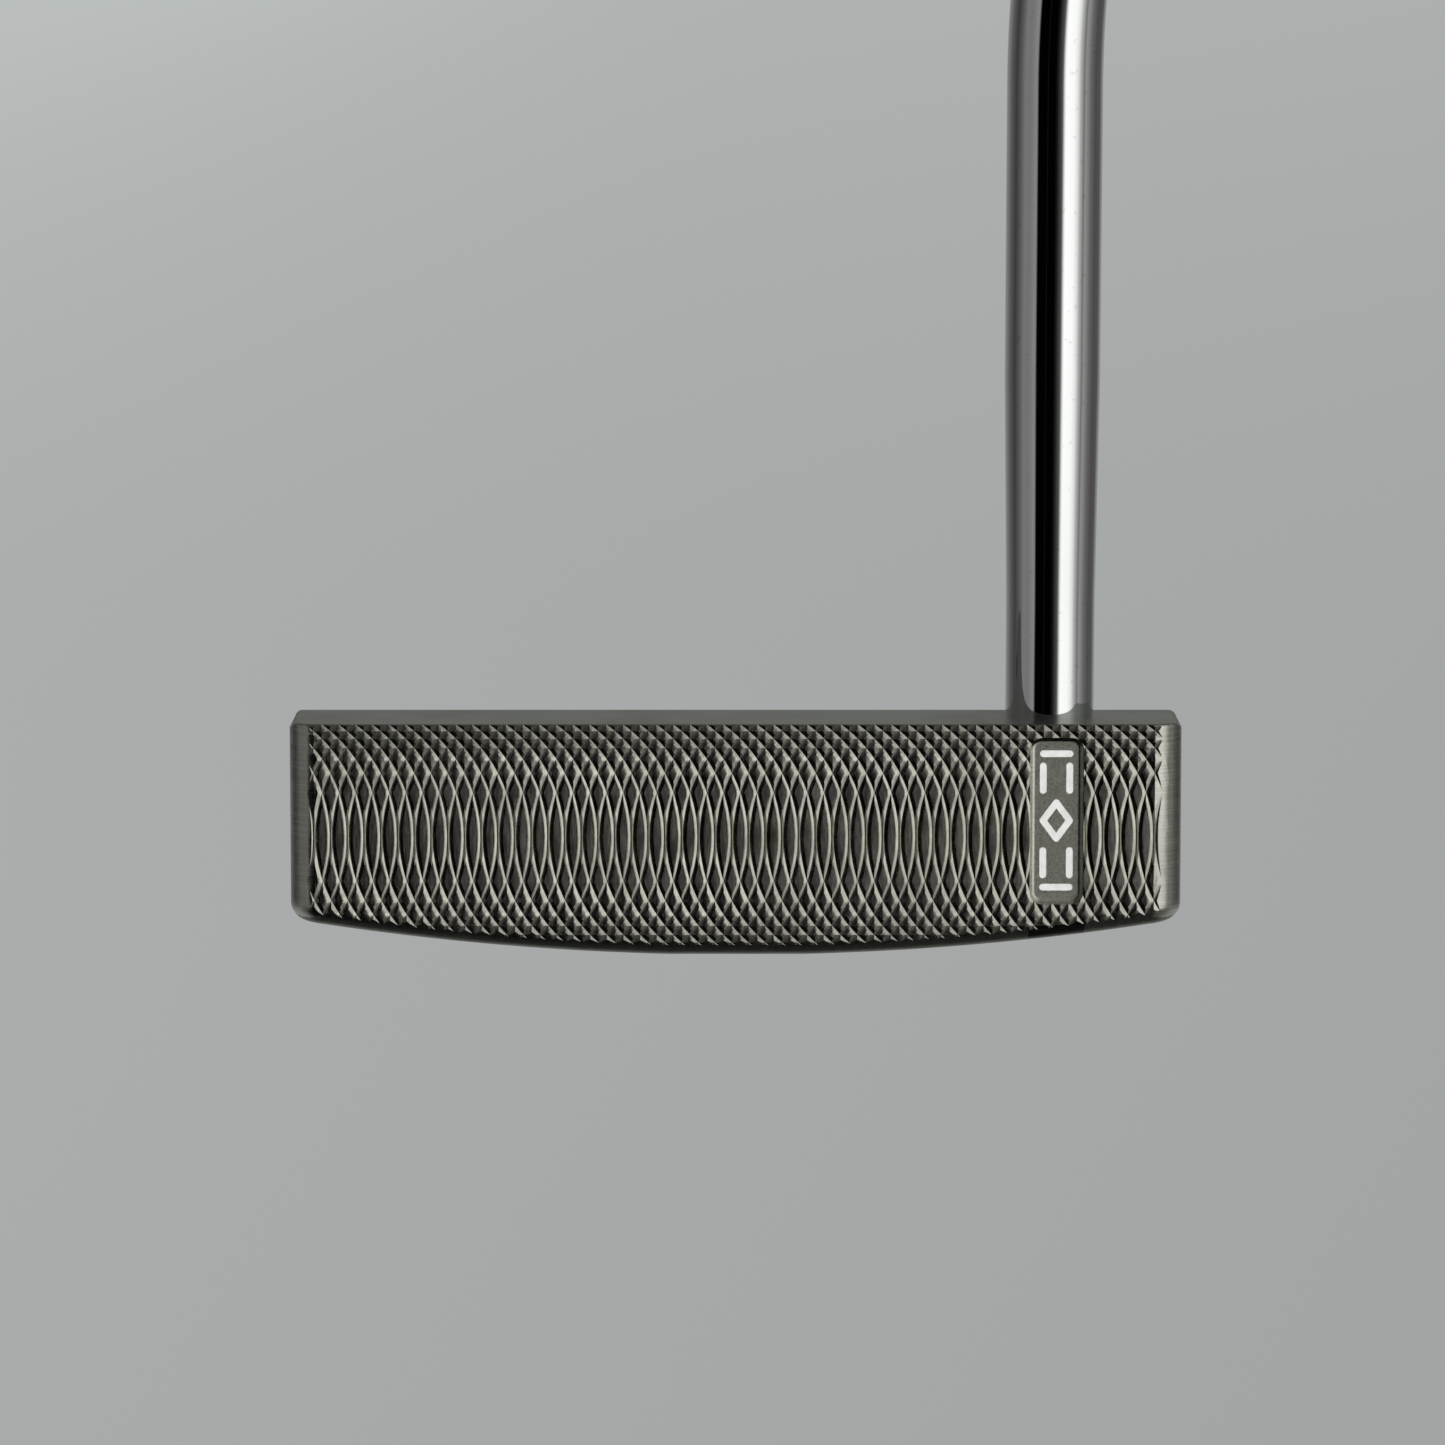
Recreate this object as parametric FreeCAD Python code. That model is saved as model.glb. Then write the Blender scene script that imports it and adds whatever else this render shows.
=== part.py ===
import FreeCAD, Part
import math
import os

# A blade putter: a milled steel head with a fly-cut face, a double-bend plated steel shaft set
# straight into the deck, and a pistol grip.
# Frame: +X runs along the face from toe to heel, the face looks along -Y, +Z is up.
# The origin is the middle of the small flat under the sole. Sizes are millimetres.

# ---- head, overall ----
HEAD_LENGTH = 94.5
HEAD_HEIGHT = 24.75
HEAD_DEPTH = 31.0
LEADING_EDGE_Y = -15.0
FACE_LOFT = 3.0
FRONT_CORNER_RADIUS = 3.3
REAR_CORNER_RADIUS = 6.5
DECK_SIDE_RADIUS = 1.05
SOLE_EDGE_RADIUS = 1.95
SOLE_CAMBER_RADIUS = 292.0
SOLE_FLAT_HALF = 7.0
SOLE_REAR_RELIEF = 1.2
SOLE_RELIEF_LENGTH = 8.0

# ---- head, back ----
TOPLINE_DEPTH = 10.0
SHOULDER_SLOPE = 13.0
SHOULDER_DEPTH = 6.6
BUMPER_STEP_Z = 14.2
BUMPER_REAR_Z = 12.6
BUMPER_STEP_RADIUS = 2.0
BUMPER_LENGTH = 25.25
CAVITY_CORNER_RADIUS = 3.0
CAVITY_FLOOR_RADIUS = 1.5
FLANGE_TOP_Z = 8.4

# ---- face badge: a recess with generic marks cut into its floor ----
BADGE_FROM_HEEL = 13.35
BADGE_WIDTH = 5.68
BADGE_HEIGHT = 17.7
BADGE_BELOW_TOP = 1.43
BADGE_CORNER_RADIUS = 1.3
BADGE_DEPTH = 0.8
BADGE_FLOOR_RADIUS = 0.6
MARK_STROKE = 0.75
MARK_CUT = 0.22
MARK_FILL = 0.15
MARK_GAP = 0.55
MARK_HALF_WIDTH = 1.4
MARK_DIAMOND_HALF_HEIGHT = 1.9
MARK_RAIL_LENGTH = 2.6

# ---- sight line on the flange ----
SIGHT_WIDTH = 1.8
SIGHT_CUT = 0.8
SIGHT_FILL = 0.6
SIGHT_END_MARGIN = 1.8
SIGHT_START_MARGIN = 0.3

# ---- screw-in sole weights ----
WEIGHT_FROM_END = 13.25
WEIGHT_FROM_REAR = 8.4
WEIGHT_HEAD_RADIUS = 5.4
WEIGHT_HEAD_THICKNESS = 2.0
WEIGHT_THREAD_RADIUS = 4.6
WEIGHT_LENGTH = 8.2
WEIGHT_CLEARANCE = 0.06
WEIGHT_END_GAP = 0.4
WEIGHT_RECESS = 0.25
WEIGHT_SOCKET_ACROSS = 4.0
WEIGHT_SOCKET_DEPTH = 3.0
THREAD_PITCH = 1.0
THREAD_DEPTH = 0.35

# ---- shaft ----
SHAFT_FROM_HEEL = 13.75
SHAFT_BEHIND_FACE_TOP = 8.1
TIP_RADIUS = 4.7
TIP_GROWTH = 0.33
SWAGE_START_ABOVE_DECK = 12.0
SWAGE_LENGTH = 24.0
BUTT_RADIUS = 7.35
SHAFT_WALL = 0.5
BORE_FLOOR = 3.5
LIE_ANGLE = 70.0
LOWER_BEND_ABOVE_DECK = 102.6
BEND_RISE = 58.0
BEND_RADIUS = 130.0
AIM_X = -2.0
OFFSET_AHEAD = 4.5
CLUB_LENGTH = 863.6
STEP_COUNT = 12
STEP_TAPER = 3.0
FIRST_STEP_AFTER_BEND = 40.0
LAST_STEP_BELOW_GRIP = 62.0
BOND_GAP = 0.15
BOND_PAD = 0.5
PLUG_LENGTH = 8.0
PLUG_SETBACK = 0.5
BAND_LENGTH = 34.0
BAND_THICKNESS = 0.15
BAND_BELOW_GRIP = 9.0

# ---- grip ----
GRIP_LENGTH = 267.0
CAP_THICKNESS = 5.0
CAP_CHAMFER = 1.2
VENT_RADIUS = 1.5
COLLAR_LENGTH = 8.0
COLLAR_LIP = 0.9
TAPE_THICKNESS = 0.15
TAPE_SHORT_OF_MOUTH = 3.0
SKIN_THICKNESS = 1.3
MOUTH_SIDE_WALL = 2.5
BUTT_SIDE_WALL = 5.1
MOUTH_FLAT_WALL = 2.2
BUTT_FLAT_WALL = 3.7
MOUTH_BELLY_WALL = 2.5
BUTT_BELLY_WALL = 5.7
PISTOL_HOOK = 4.6
PISTOL_START = 0.55
FLAT_SHARE = 0.62
CORNER_DEPTH_SHARE = 0.72
CORNER_WIDTH_SHARE = 0.67
GRIP_STATIONS = 9
GRIP_MARK_WIDTH = 1.4
GRIP_MARK_HALF_SPAN = 3.4
GRIP_MARK_CUT = 0.3
GRIP_MARK_FILL = 0.25
GRIP_MARK_COUNT = 3
GRIP_MARK_SPACING = 6.0
GRIP_MARK_BELOW_CAP = 26.0

# ---- how far cutters overrun, and how near two lengths count as the same ----
MARGIN = 5.0
SAME = 1e-3

# ---- worked out from the sizes above ----
REAR_Y = LEADING_EDGE_Y + HEAD_DEPTH
FACE_TOP_Y = LEADING_EDGE_Y + HEAD_HEIGHT * math.tan(math.radians(FACE_LOFT))
TOPLINE_REAR_Y = FACE_TOP_Y + TOPLINE_DEPTH
CAVITY_HALF = HEAD_LENGTH / 2 - BUMPER_LENGTH
BADGE_X = HEAD_LENGTH / 2 - BADGE_FROM_HEEL
WEIGHT_X = HEAD_LENGTH / 2 - WEIGHT_FROM_END
WEIGHT_Y = REAR_Y - WEIGHT_FROM_REAR
SHAFT_X = HEAD_LENGTH / 2 - SHAFT_FROM_HEEL
SHAFT_Y = FACE_TOP_Y + SHAFT_BEHIND_FACE_TOP
LOWER_RADIUS = TIP_RADIUS + TIP_GROWTH
BORE_RADIUS = TIP_RADIUS + BOND_GAP
LEAN = math.radians(90.0 - LIE_ANGLE)
LOWER_BEND_Z = HEAD_HEIGHT + LOWER_BEND_ABOVE_DECK
UPPER_BEND_Z = LOWER_BEND_Z + BEND_RISE
AXIS_Y = LEADING_EDGE_Y - OFFSET_AHEAD
GRIP_MOUTH_S = CLUB_LENGTH - GRIP_LENGTH
CAP_S = CLUB_LENGTH - CAP_THICKNESS
BORE_IN_GRIP = BUTT_RADIUS + TAPE_THICKNESS
CAMBER_DROP = SOLE_CAMBER_RADIUS - math.sqrt(SOLE_CAMBER_RADIUS ** 2 - SOLE_FLAT_HALF ** 2)
CAMBER_CENTRE_Z = SOLE_CAMBER_RADIUS - CAMBER_DROP
BORE_END_Z = CAMBER_CENTRE_Z - math.sqrt(SOLE_CAMBER_RADIUS ** 2 - SHAFT_X ** 2) + BORE_FLOOR
SHAFT_END_Z = BORE_END_Z + BOND_PAD


def vec(x, y, z):
    return FreeCAD.Vector(x, y, z)


def line(start, end):
    return Part.LineSegment(start, end).toShape()


def arc(start, middle, end):
    return Part.Arc(start, middle, end).toShape()


def face_of(edges):
    return Part.Face(Part.Wire(edges))


def polygon_face(points):
    return Part.Face(Part.makePolygon(points + [points[0]]))


def cylinder(radius, length, base, direction):
    return Part.makeCylinder(radius, length, base, direction)


# ---------------------------------------------------------------- head

def rounded_end_outline(half_width, end_y, far_y, radius, z):
    """A long plan outline whose two corners at end_y are rounded, and whose other end is far off."""
    inward = 1.0 if far_y > end_y else -1.0
    centre_y = end_y + inward * radius
    centre_x = half_width - radius
    diagonal = radius * math.sqrt(0.5)
    left_side = vec(-half_width, centre_y, z)
    left_end = vec(-centre_x, end_y, z)
    right_end = vec(centre_x, end_y, z)
    right_side = vec(half_width, centre_y, z)
    left_mid = vec(-centre_x - diagonal, centre_y - inward * diagonal, z)
    right_mid = vec(centre_x + diagonal, centre_y - inward * diagonal, z)
    far_right = vec(half_width, far_y, z)
    far_left = vec(-half_width, far_y, z)
    return face_of([
        arc(left_side, left_mid, left_end),
        line(left_end, right_end),
        arc(right_end, right_mid, right_side),
        line(right_side, far_right),
        line(far_right, far_left),
        line(far_left, left_side),
    ])


def front_prism():
    """Everything behind the lofted face, with the two front corners rounded."""
    slope = math.tan(math.radians(FACE_LOFT))
    base_y = LEADING_EDGE_Y - MARGIN * slope
    outline = rounded_end_outline(HEAD_LENGTH / 2, base_y, REAR_Y + MARGIN, FRONT_CORNER_RADIUS, -MARGIN)
    rise = HEAD_HEIGHT + 2 * MARGIN
    return outline.extrude(vec(0, rise * slope, rise))


def rear_prism():
    """Everything in front of the rear wall, with the two rear corners rounded."""
    outline = rounded_end_outline(
        HEAD_LENGTH / 2, REAR_Y, LEADING_EDGE_Y - 2 * MARGIN, REAR_CORNER_RADIUS, -MARGIN
    )
    return outline.extrude(vec(0, 0, HEAD_HEIGHT + 2 * MARGIN))


def sole_height(x):
    """Height of the cambered sole above the ground at a distance from the middle."""
    if abs(x) <= SOLE_FLAT_HALF:
        return 0.0
    return CAMBER_CENTRE_Z - math.sqrt(SOLE_CAMBER_RADIUS ** 2 - x ** 2)


def camber_prism():
    """The front view of the head: flat deck, rounded deck ends, straight sides and cambered sole."""
    half = HEAD_LENGTH / 2
    deck_x = half - DECK_SIDE_RADIUS
    deck_z = HEAD_HEIGHT - DECK_SIDE_RADIUS
    diagonal = DECK_SIDE_RADIUS * math.sqrt(0.5)
    y = LEADING_EDGE_Y - 2 * MARGIN

    def at(x, z):
        return vec(x, y, z)

    def camber_mid(side):
        x = side * (half + SOLE_FLAT_HALF) / 2
        return at(x, sole_height(x))

    low = sole_height(half)
    edges = [
        line(at(-deck_x, HEAD_HEIGHT), at(deck_x, HEAD_HEIGHT)),
        arc(at(deck_x, HEAD_HEIGHT), at(deck_x + diagonal, deck_z + diagonal), at(half, deck_z)),
        line(at(half, deck_z), at(half, low)),
        arc(at(half, low), camber_mid(1), at(SOLE_FLAT_HALF, 0)),
        line(at(SOLE_FLAT_HALF, 0), at(-SOLE_FLAT_HALF, 0)),
        arc(at(-SOLE_FLAT_HALF, 0), camber_mid(-1), at(-half, low)),
        line(at(-half, low), at(-half, deck_z)),
        arc(at(-half, deck_z), at(-deck_x - diagonal, deck_z + diagonal), at(-deck_x, HEAD_HEIGHT)),
    ]
    return face_of(edges).extrude(vec(0, HEAD_DEPTH + 4 * MARGIN, 0))


def is_sole_edge(edge):
    """True for an edge that lies on the sole's outline."""
    box = edge.BoundBox
    limit = sole_height(HEAD_LENGTH / 2) + SAME
    upright = box.ZLength > SOLE_EDGE_RADIUS and box.XLength < SAME
    flat_join = box.YLength > HEAD_DEPTH / 2 and abs(abs(box.Center.x) - SOLE_FLAT_HALF) < SAME
    return box.ZMax <= limit and not upright and not flat_join


def head_block():
    """The solid blank: plan outline, front view and the rounded edge all round the sole."""
    block = front_prism().common(rear_prism()).common(camber_prism()).removeSplitter()
    edges = [edge for edge in block.Edges if is_sole_edge(edge)]
    return block.makeFillet(SOLE_EDGE_RADIUS, edges)


def sole_relief():
    """A wedge that lifts the rear of the sole off the ground."""
    x = -HEAD_LENGTH / 2 - MARGIN
    start_y = REAR_Y - SOLE_RELIEF_LENGTH
    end_y = REAR_Y + MARGIN
    rise = SOLE_REAR_RELIEF / SOLE_RELIEF_LENGTH * (end_y - start_y)
    profile = polygon_face([
        vec(x, start_y, 0),
        vec(x, end_y, rise),
        vec(x, end_y, -MARGIN),
        vec(x, start_y, -MARGIN),
    ])
    return profile.extrude(vec(HEAD_LENGTH + 2 * MARGIN, 0, 0))


def above_bumpers():
    """What is cut away above the shoulders and the lower bumpers, as seen from the heel."""
    x = -HEAD_LENGTH / 2 - MARGIN
    slope = math.tan(math.radians(SHOULDER_SLOPE))
    step_y = TOPLINE_REAR_Y + SHOULDER_DEPTH
    shoulder_z = HEAD_HEIGHT - SHOULDER_DEPTH * slope
    diagonal = BUMPER_STEP_RADIUS * (1 - math.sqrt(0.5))
    end_y = REAR_Y + MARGIN
    fall = (BUMPER_STEP_Z - BUMPER_REAR_Z) / (REAR_Y - step_y)
    foot_y = step_y + BUMPER_STEP_RADIUS

    def at(y, z):
        return vec(x, y, z)

    top = HEAD_HEIGHT + MARGIN
    edges = [
        line(at(TOPLINE_REAR_Y, top), at(TOPLINE_REAR_Y, HEAD_HEIGHT)),
        line(at(TOPLINE_REAR_Y, HEAD_HEIGHT), at(step_y, shoulder_z)),
        line(at(step_y, shoulder_z), at(step_y, BUMPER_STEP_Z + BUMPER_STEP_RADIUS)),
        arc(
            at(step_y, BUMPER_STEP_Z + BUMPER_STEP_RADIUS),
            at(step_y + diagonal, BUMPER_STEP_Z + diagonal),
            at(foot_y, BUMPER_STEP_Z),
        ),
        line(at(foot_y, BUMPER_STEP_Z), at(end_y, BUMPER_STEP_Z - fall * (end_y - foot_y))),
        line(at(end_y, BUMPER_STEP_Z - fall * (end_y - foot_y)), at(end_y, top)),
        line(at(end_y, top), at(TOPLINE_REAR_Y, top)),
    ]
    return face_of(edges).extrude(vec(HEAD_LENGTH + 2 * MARGIN, 0, 0))


def cavity():
    """The open space behind the topline, between the bumpers and above the flange."""
    depth = REAR_Y - TOPLINE_REAR_Y + 2 * MARGIN
    height = HEAD_HEIGHT - FLANGE_TOP_Z + MARGIN
    box = Part.makeBox(2 * CAVITY_HALF, depth, height, vec(-CAVITY_HALF, TOPLINE_REAR_Y, FLANGE_TOP_Z))
    uprights = [
        edge for edge in box.Edges
        if edge.BoundBox.ZLength > height / 2 and edge.BoundBox.YMax < TOPLINE_REAR_Y + MARGIN
    ]
    box = box.makeFillet(CAVITY_CORNER_RADIUS, uprights)
    floor = [
        edge for edge in box.Edges
        if edge.BoundBox.ZMax < FLANGE_TOP_Z + MARGIN and edge.BoundBox.YMin < REAR_Y
    ]
    return box.makeFillet(CAVITY_FLOOR_RADIUS, floor)


def on_face(shape):
    """Moves a shape drawn on the upright XZ plane on to the lofted face, from its top edge down."""
    placed = shape.copy()
    placed.Placement = FreeCAD.Placement(
        vec(0, FACE_TOP_Y, HEAD_HEIGHT), FreeCAD.Rotation(vec(1, 0, 0), -FACE_LOFT)
    )
    return placed


def badge_recess():
    """The rounded rectangle sunk into the face near the heel, drawn on the upright plane."""
    half = BADGE_WIDTH / 2
    radius = BADGE_CORNER_RADIUS
    left = BADGE_X - half
    bottom = -BADGE_BELOW_TOP - BADGE_HEIGHT
    box = Part.makeBox(BADGE_WIDTH, BADGE_DEPTH + MARGIN, BADGE_HEIGHT, vec(left, -MARGIN, bottom))
    corners = [edge for edge in box.Edges if edge.BoundBox.YLength > BADGE_DEPTH]
    box = box.makeFillet(radius, corners)
    floor = [edge for edge in box.Edges if edge.BoundBox.YMin > BADGE_DEPTH - SAME]
    return box.makeFillet(BADGE_FLOOR_RADIUS, floor)


def stroke(points, depth, start_y):
    """A bent bar of the mark's stroke width through the points, sunk from start_y."""
    solid = None
    radius = MARK_STROKE / 2
    for first, second in zip(points, points[1:]):
        run = vec(second[0] - first[0], 0, second[1] - first[1])
        side = vec(-run.z, 0, run.x).normalize() * radius
        start = vec(first[0], start_y, first[1])
        end = vec(second[0], start_y, second[1])
        bar = polygon_face([start + side, end + side, end - side, start - side])
        bar = bar.extrude(vec(0, depth, 0))
        solid = bar if solid is None else solid.fuse(bar)
    for x, z in points:
        solid = solid.fuse(cylinder(radius, depth, vec(x, start_y, z), vec(0, 1, 0)))
    return solid.removeSplitter()


def badge_marks(depth):
    """Generic marks on the badge's floor: a diamond, then two rails and a bar each way."""
    middle = -BADGE_BELOW_TOP - BADGE_HEIGHT / 2
    wide = MARK_HALF_WIDTH
    tall = MARK_DIAMOND_HALF_HEIGHT
    step = MARK_STROKE + MARK_GAP
    floor = BADGE_DEPTH + MARK_CUT - depth
    corners = [(0, tall), (wide, 0), (0, -tall), (-wide, 0), (0, tall)]
    marks = [stroke([(BADGE_X + x, middle + z) for x, z in corners], depth, floor)]
    for way in (1, -1):
        near = middle + way * (tall + step)
        far = near + way * MARK_RAIL_LENGTH
        for side in (-wide, wide):
            marks.append(stroke([(BADGE_X + side, near), (BADGE_X + side, far)], depth, floor))
        bar = far + way * step
        marks.append(stroke([(BADGE_X - wide, bar), (BADGE_X + wide, bar)], depth, floor))
    return marks


def sight_bar(depth):
    """The alignment groove along the flange, or its paint, down to the groove's floor."""
    half = SIGHT_WIDTH / 2
    start_y = TOPLINE_REAR_Y + CAVITY_FLOOR_RADIUS + SIGHT_START_MARGIN + half
    end_y = REAR_Y - SIGHT_END_MARGIN - half
    floor = FLANGE_TOP_Z - SIGHT_CUT
    box = Part.makeBox(SIGHT_WIDTH, end_y - start_y, depth, vec(-half, start_y, floor))
    for y in (start_y, end_y):
        box = box.fuse(cylinder(half, depth, vec(0, y, floor), vec(0, 0, 1)))
    return box.removeSplitter()


def weight_axis(side):
    """The point on the sole where a weight sits, and the direction out of the sole there."""
    tilt = math.asin(WEIGHT_X / SOLE_CAMBER_RADIUS)
    point = vec(side * WEIGHT_X, WEIGHT_Y, sole_height(WEIGHT_X))
    return point, vec(side * math.sin(tilt), 0, -math.cos(tilt))


def weight_port(side):
    """The counterbored hole in the sole that a weight screws into."""
    point, out = weight_axis(side)
    gap = WEIGHT_CLEARANCE
    start = point + out * MARGIN
    head_depth = MARGIN + WEIGHT_RECESS + WEIGHT_HEAD_THICKNESS
    full_depth = MARGIN + WEIGHT_RECESS + WEIGHT_LENGTH + WEIGHT_END_GAP
    port = cylinder(WEIGHT_HEAD_RADIUS + gap, head_depth, start, out * -1)
    return port.fuse(cylinder(WEIGHT_THREAD_RADIUS + gap, full_depth, start, out * -1))


def thread_groove(point, direction):
    """One ring cut into a weight's threaded length."""
    ring = cylinder(WEIGHT_THREAD_RADIUS + MARGIN, THREAD_PITCH / 2, point, direction)
    return ring.cut(cylinder(WEIGHT_THREAD_RADIUS - THREAD_DEPTH, THREAD_PITCH / 2, point, direction))


def hexagon(across, point, direction, length):
    """A six-sided tool socket that runs from the point along the direction."""
    corner = across / math.sqrt(3)
    sideways = vec(0, 1, 0)
    upward = direction.cross(sideways)
    points = []
    for index in range(6):
        turn = math.radians(60 * index)
        points.append(point + sideways * corner * math.cos(turn) + upward * corner * math.sin(turn))
    return polygon_face(points).extrude(direction * length)


def sole_weight(side):
    """A screw-in weight: flat head, tool socket and threaded length."""
    point, out = weight_axis(side)
    inward = out * -1
    top = point + inward * WEIGHT_RECESS
    weight = cylinder(WEIGHT_HEAD_RADIUS, WEIGHT_HEAD_THICKNESS, top, inward)
    weight = weight.fuse(cylinder(WEIGHT_THREAD_RADIUS, WEIGHT_LENGTH, top, inward)).removeSplitter()
    first = WEIGHT_HEAD_THICKNESS + THREAD_PITCH / 2
    count = int((WEIGHT_LENGTH - first) / THREAD_PITCH)
    for index in range(count):
        weight = weight.cut(thread_groove(top + inward * (first + index * THREAD_PITCH), inward))
    return weight.cut(hexagon(WEIGHT_SOCKET_ACROSS, top, inward, WEIGHT_SOCKET_DEPTH))


def shaft_bore():
    """The blind hole in the deck that the shaft is bonded into."""
    base = vec(SHAFT_X, SHAFT_Y, BORE_END_Z)
    return cylinder(BORE_RADIUS, HEAD_HEIGHT + MARGIN - BORE_END_Z, base, vec(0, 0, 1))


def head_body():
    """The milled head with every recess and hole cut."""
    body = head_block()
    cutters = [sole_relief(), above_bumpers(), cavity(), shaft_bore()]
    cutters += [on_face(badge_recess()), sight_bar(SIGHT_CUT + MARGIN)]
    cutters += [on_face(mark) for mark in badge_marks(MARK_CUT)]
    cutters += [weight_port(side) for side in (-1, 1)]
    for cutter in cutters:
        body = body.cut(cutter)
    return body.removeSplitter()


# ---------------------------------------------------------------- shaft

def lie_point(distance):
    """A point on the straight upper run's axis, by its distance from the ground along that axis."""
    return vec(AIM_X + distance * math.sin(LEAN), AXIS_Y, distance * math.cos(LEAN))


def bend(before, corner, after):
    """The tangent arc that rounds a corner of the shaft's axis: start, middle, end."""
    inward = (before - corner).normalize()
    onward = (after - corner).normalize()
    half_turn = (math.pi - inward.getAngle(onward)) / 2
    tangent = BEND_RADIUS * math.tan(half_turn)
    start = corner + inward * tangent
    end = corner + onward * tangent
    to_centre = (inward + onward).normalize()
    centre = corner + to_centre * (BEND_RADIUS / math.cos(half_turn))
    return start, centre - to_centre * BEND_RADIUS, end


def shaft_route():
    """The two bends of the shaft, each as start, middle and end of its arc."""
    foot = vec(SHAFT_X, SHAFT_Y, SHAFT_END_Z)
    lower = vec(SHAFT_X, SHAFT_Y, LOWER_BEND_Z)
    upper = lie_point(UPPER_BEND_Z / math.cos(LEAN))
    return bend(foot, lower, upper), bend(lower, upper, lie_point(CLUB_LENGTH))


def bent_rod(radius, ends):
    """A round bar bent along one arc."""
    start, middle, end = ends
    path = Part.Wire([arc(start, middle, end)])
    direction = path.Edges[0].tangentAt(path.Edges[0].FirstParameter)
    profile = Part.Wire([Part.makeCircle(radius, start, direction)])
    return path.makePipeShell([profile], True, True)


def turned(profile, base, direction):
    """A solid turned about the axis from base along direction, from (radius, height) pairs."""
    points = [vec(radius, 0, height) for radius, height in profile]
    solid = polygon_face(points).revolve(vec(0, 0, 0), vec(0, 0, 1), 360)
    solid.Placement = FreeCAD.Placement(base, FreeCAD.Rotation(vec(0, 0, 1), direction))
    return solid


def lower_run(inset, top_z):
    """The upright run out of the head, swaged from the tip size up to the lower size."""
    swage_start = HEAD_HEIGHT + SWAGE_START_ABOVE_DECK - SHAFT_END_Z
    swage_end = swage_start + SWAGE_LENGTH
    profile = [
        (0, 0),
        (TIP_RADIUS - inset, 0),
        (TIP_RADIUS - inset, swage_start),
        (LOWER_RADIUS - inset, swage_end),
        (LOWER_RADIUS - inset, top_z - SHAFT_END_Z),
        (0, top_z - SHAFT_END_Z),
    ]
    return turned(profile, vec(SHAFT_X, SHAFT_Y, SHAFT_END_Z), vec(0, 0, 1))


def upper_run(inset, start):
    """The straight run to the butt, growing from the lower size in equal steps."""
    direction = lie_point(1) - lie_point(0)
    length = (lie_point(CAP_S) - start).Length
    last_step = length - (CAP_S - GRIP_MOUTH_S) - LAST_STEP_BELOW_GRIP
    spacing = (last_step - FIRST_STEP_AFTER_BEND) / (STEP_COUNT - 1)
    rise = (BUTT_RADIUS - LOWER_RADIUS) / STEP_COUNT
    profile = [(0, 0), (LOWER_RADIUS - inset, 0)]
    for index in range(STEP_COUNT):
        radius = LOWER_RADIUS + rise * index - inset
        height = FIRST_STEP_AFTER_BEND + spacing * index
        profile += [(radius, height), (radius + rise, height + STEP_TAPER)]
    profile += [(BUTT_RADIUS - inset, length), (0, length)]
    return turned(profile, start, direction)


def shaft_rod(inset):
    """The whole shaft as a solid bar whose skin is inset from the outside."""
    lower, upper = shaft_route()
    pieces = [
        bent_rod(LOWER_RADIUS - inset, lower),
        cylinder(LOWER_RADIUS - inset, (upper[0] - lower[2]).Length, lower[2], upper[0] - lower[2]),
        bent_rod(LOWER_RADIUS - inset, upper),
        upper_run(inset, upper[2]),
    ]
    rod = lower_run(inset, lower[0].z)
    for piece in pieces:
        rod = rod.fuse(piece)
    return rod.removeSplitter()


def shaft():
    """The plated tube, open at both ends."""
    return shaft_rod(0).cut(shaft_rod(SHAFT_WALL))


def shaft_bond():
    """The cured adhesive around and under the shaft's tip."""
    base = vec(SHAFT_X, SHAFT_Y, BORE_END_Z)
    plug = cylinder(BORE_RADIUS, HEAD_HEIGHT - BORE_END_Z, base, vec(0, 0, 1))
    tip = cylinder(TIP_RADIUS, HEAD_HEIGHT, vec(SHAFT_X, SHAFT_Y, SHAFT_END_Z), vec(0, 0, 1))
    bond = plug.cut(tip)
    return bond.cut(above_bumpers())


def tip_plug():
    """The stopper that keeps adhesive out of the shaft."""
    base = vec(SHAFT_X, SHAFT_Y, SHAFT_END_Z + PLUG_SETBACK)
    return cylinder(TIP_RADIUS - SHAFT_WALL, PLUG_LENGTH, base, vec(0, 0, 1))


def sleeve(inner, outer, start_s, end_s):
    """A plain tube on the upper run's axis between two distances from the ground."""
    base = lie_point(start_s)
    direction = lie_point(end_s) - base
    length = end_s - start_s
    return cylinder(outer, length, base, direction).cut(cylinder(inner, length, base, direction))


def shaft_band():
    """The thin plain label round the shaft just under the grip."""
    end_s = GRIP_MOUTH_S - BAND_BELOW_GRIP
    return sleeve(BUTT_RADIUS, BUTT_RADIUS + BAND_THICKNESS, end_s - BAND_LENGTH, end_s)


# ---------------------------------------------------------------- grip

def on_grip(shape):
    """Moves a shape drawn about the Z axis on to the grip, with its zero height at the mouth."""
    placed = shape.copy()
    turn = FreeCAD.Rotation(vec(0, 1, 0), math.degrees(LEAN))
    placed.Placement = FreeCAD.Placement(lie_point(GRIP_MOUTH_S), turn)
    return placed


def grip_sizes(share):
    """Half width, flat distance and belly distance at a share of the way from mouth to butt."""
    half_width = BORE_IN_GRIP + MOUTH_SIDE_WALL + (BUTT_SIDE_WALL - MOUTH_SIDE_WALL) * share
    flat = BORE_IN_GRIP + MOUTH_FLAT_WALL + (BUTT_FLAT_WALL - MOUTH_FLAT_WALL) * share
    belly = BORE_IN_GRIP + MOUTH_BELLY_WALL + (BUTT_BELLY_WALL - MOUTH_BELLY_WALL) * share
    if share > PISTOL_START:
        along = (share - PISTOL_START) / (1 - PISTOL_START)
        belly += PISTOL_HOOK * (1 - math.cos(math.pi * along)) / 2
    return half_width, flat, belly


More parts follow.
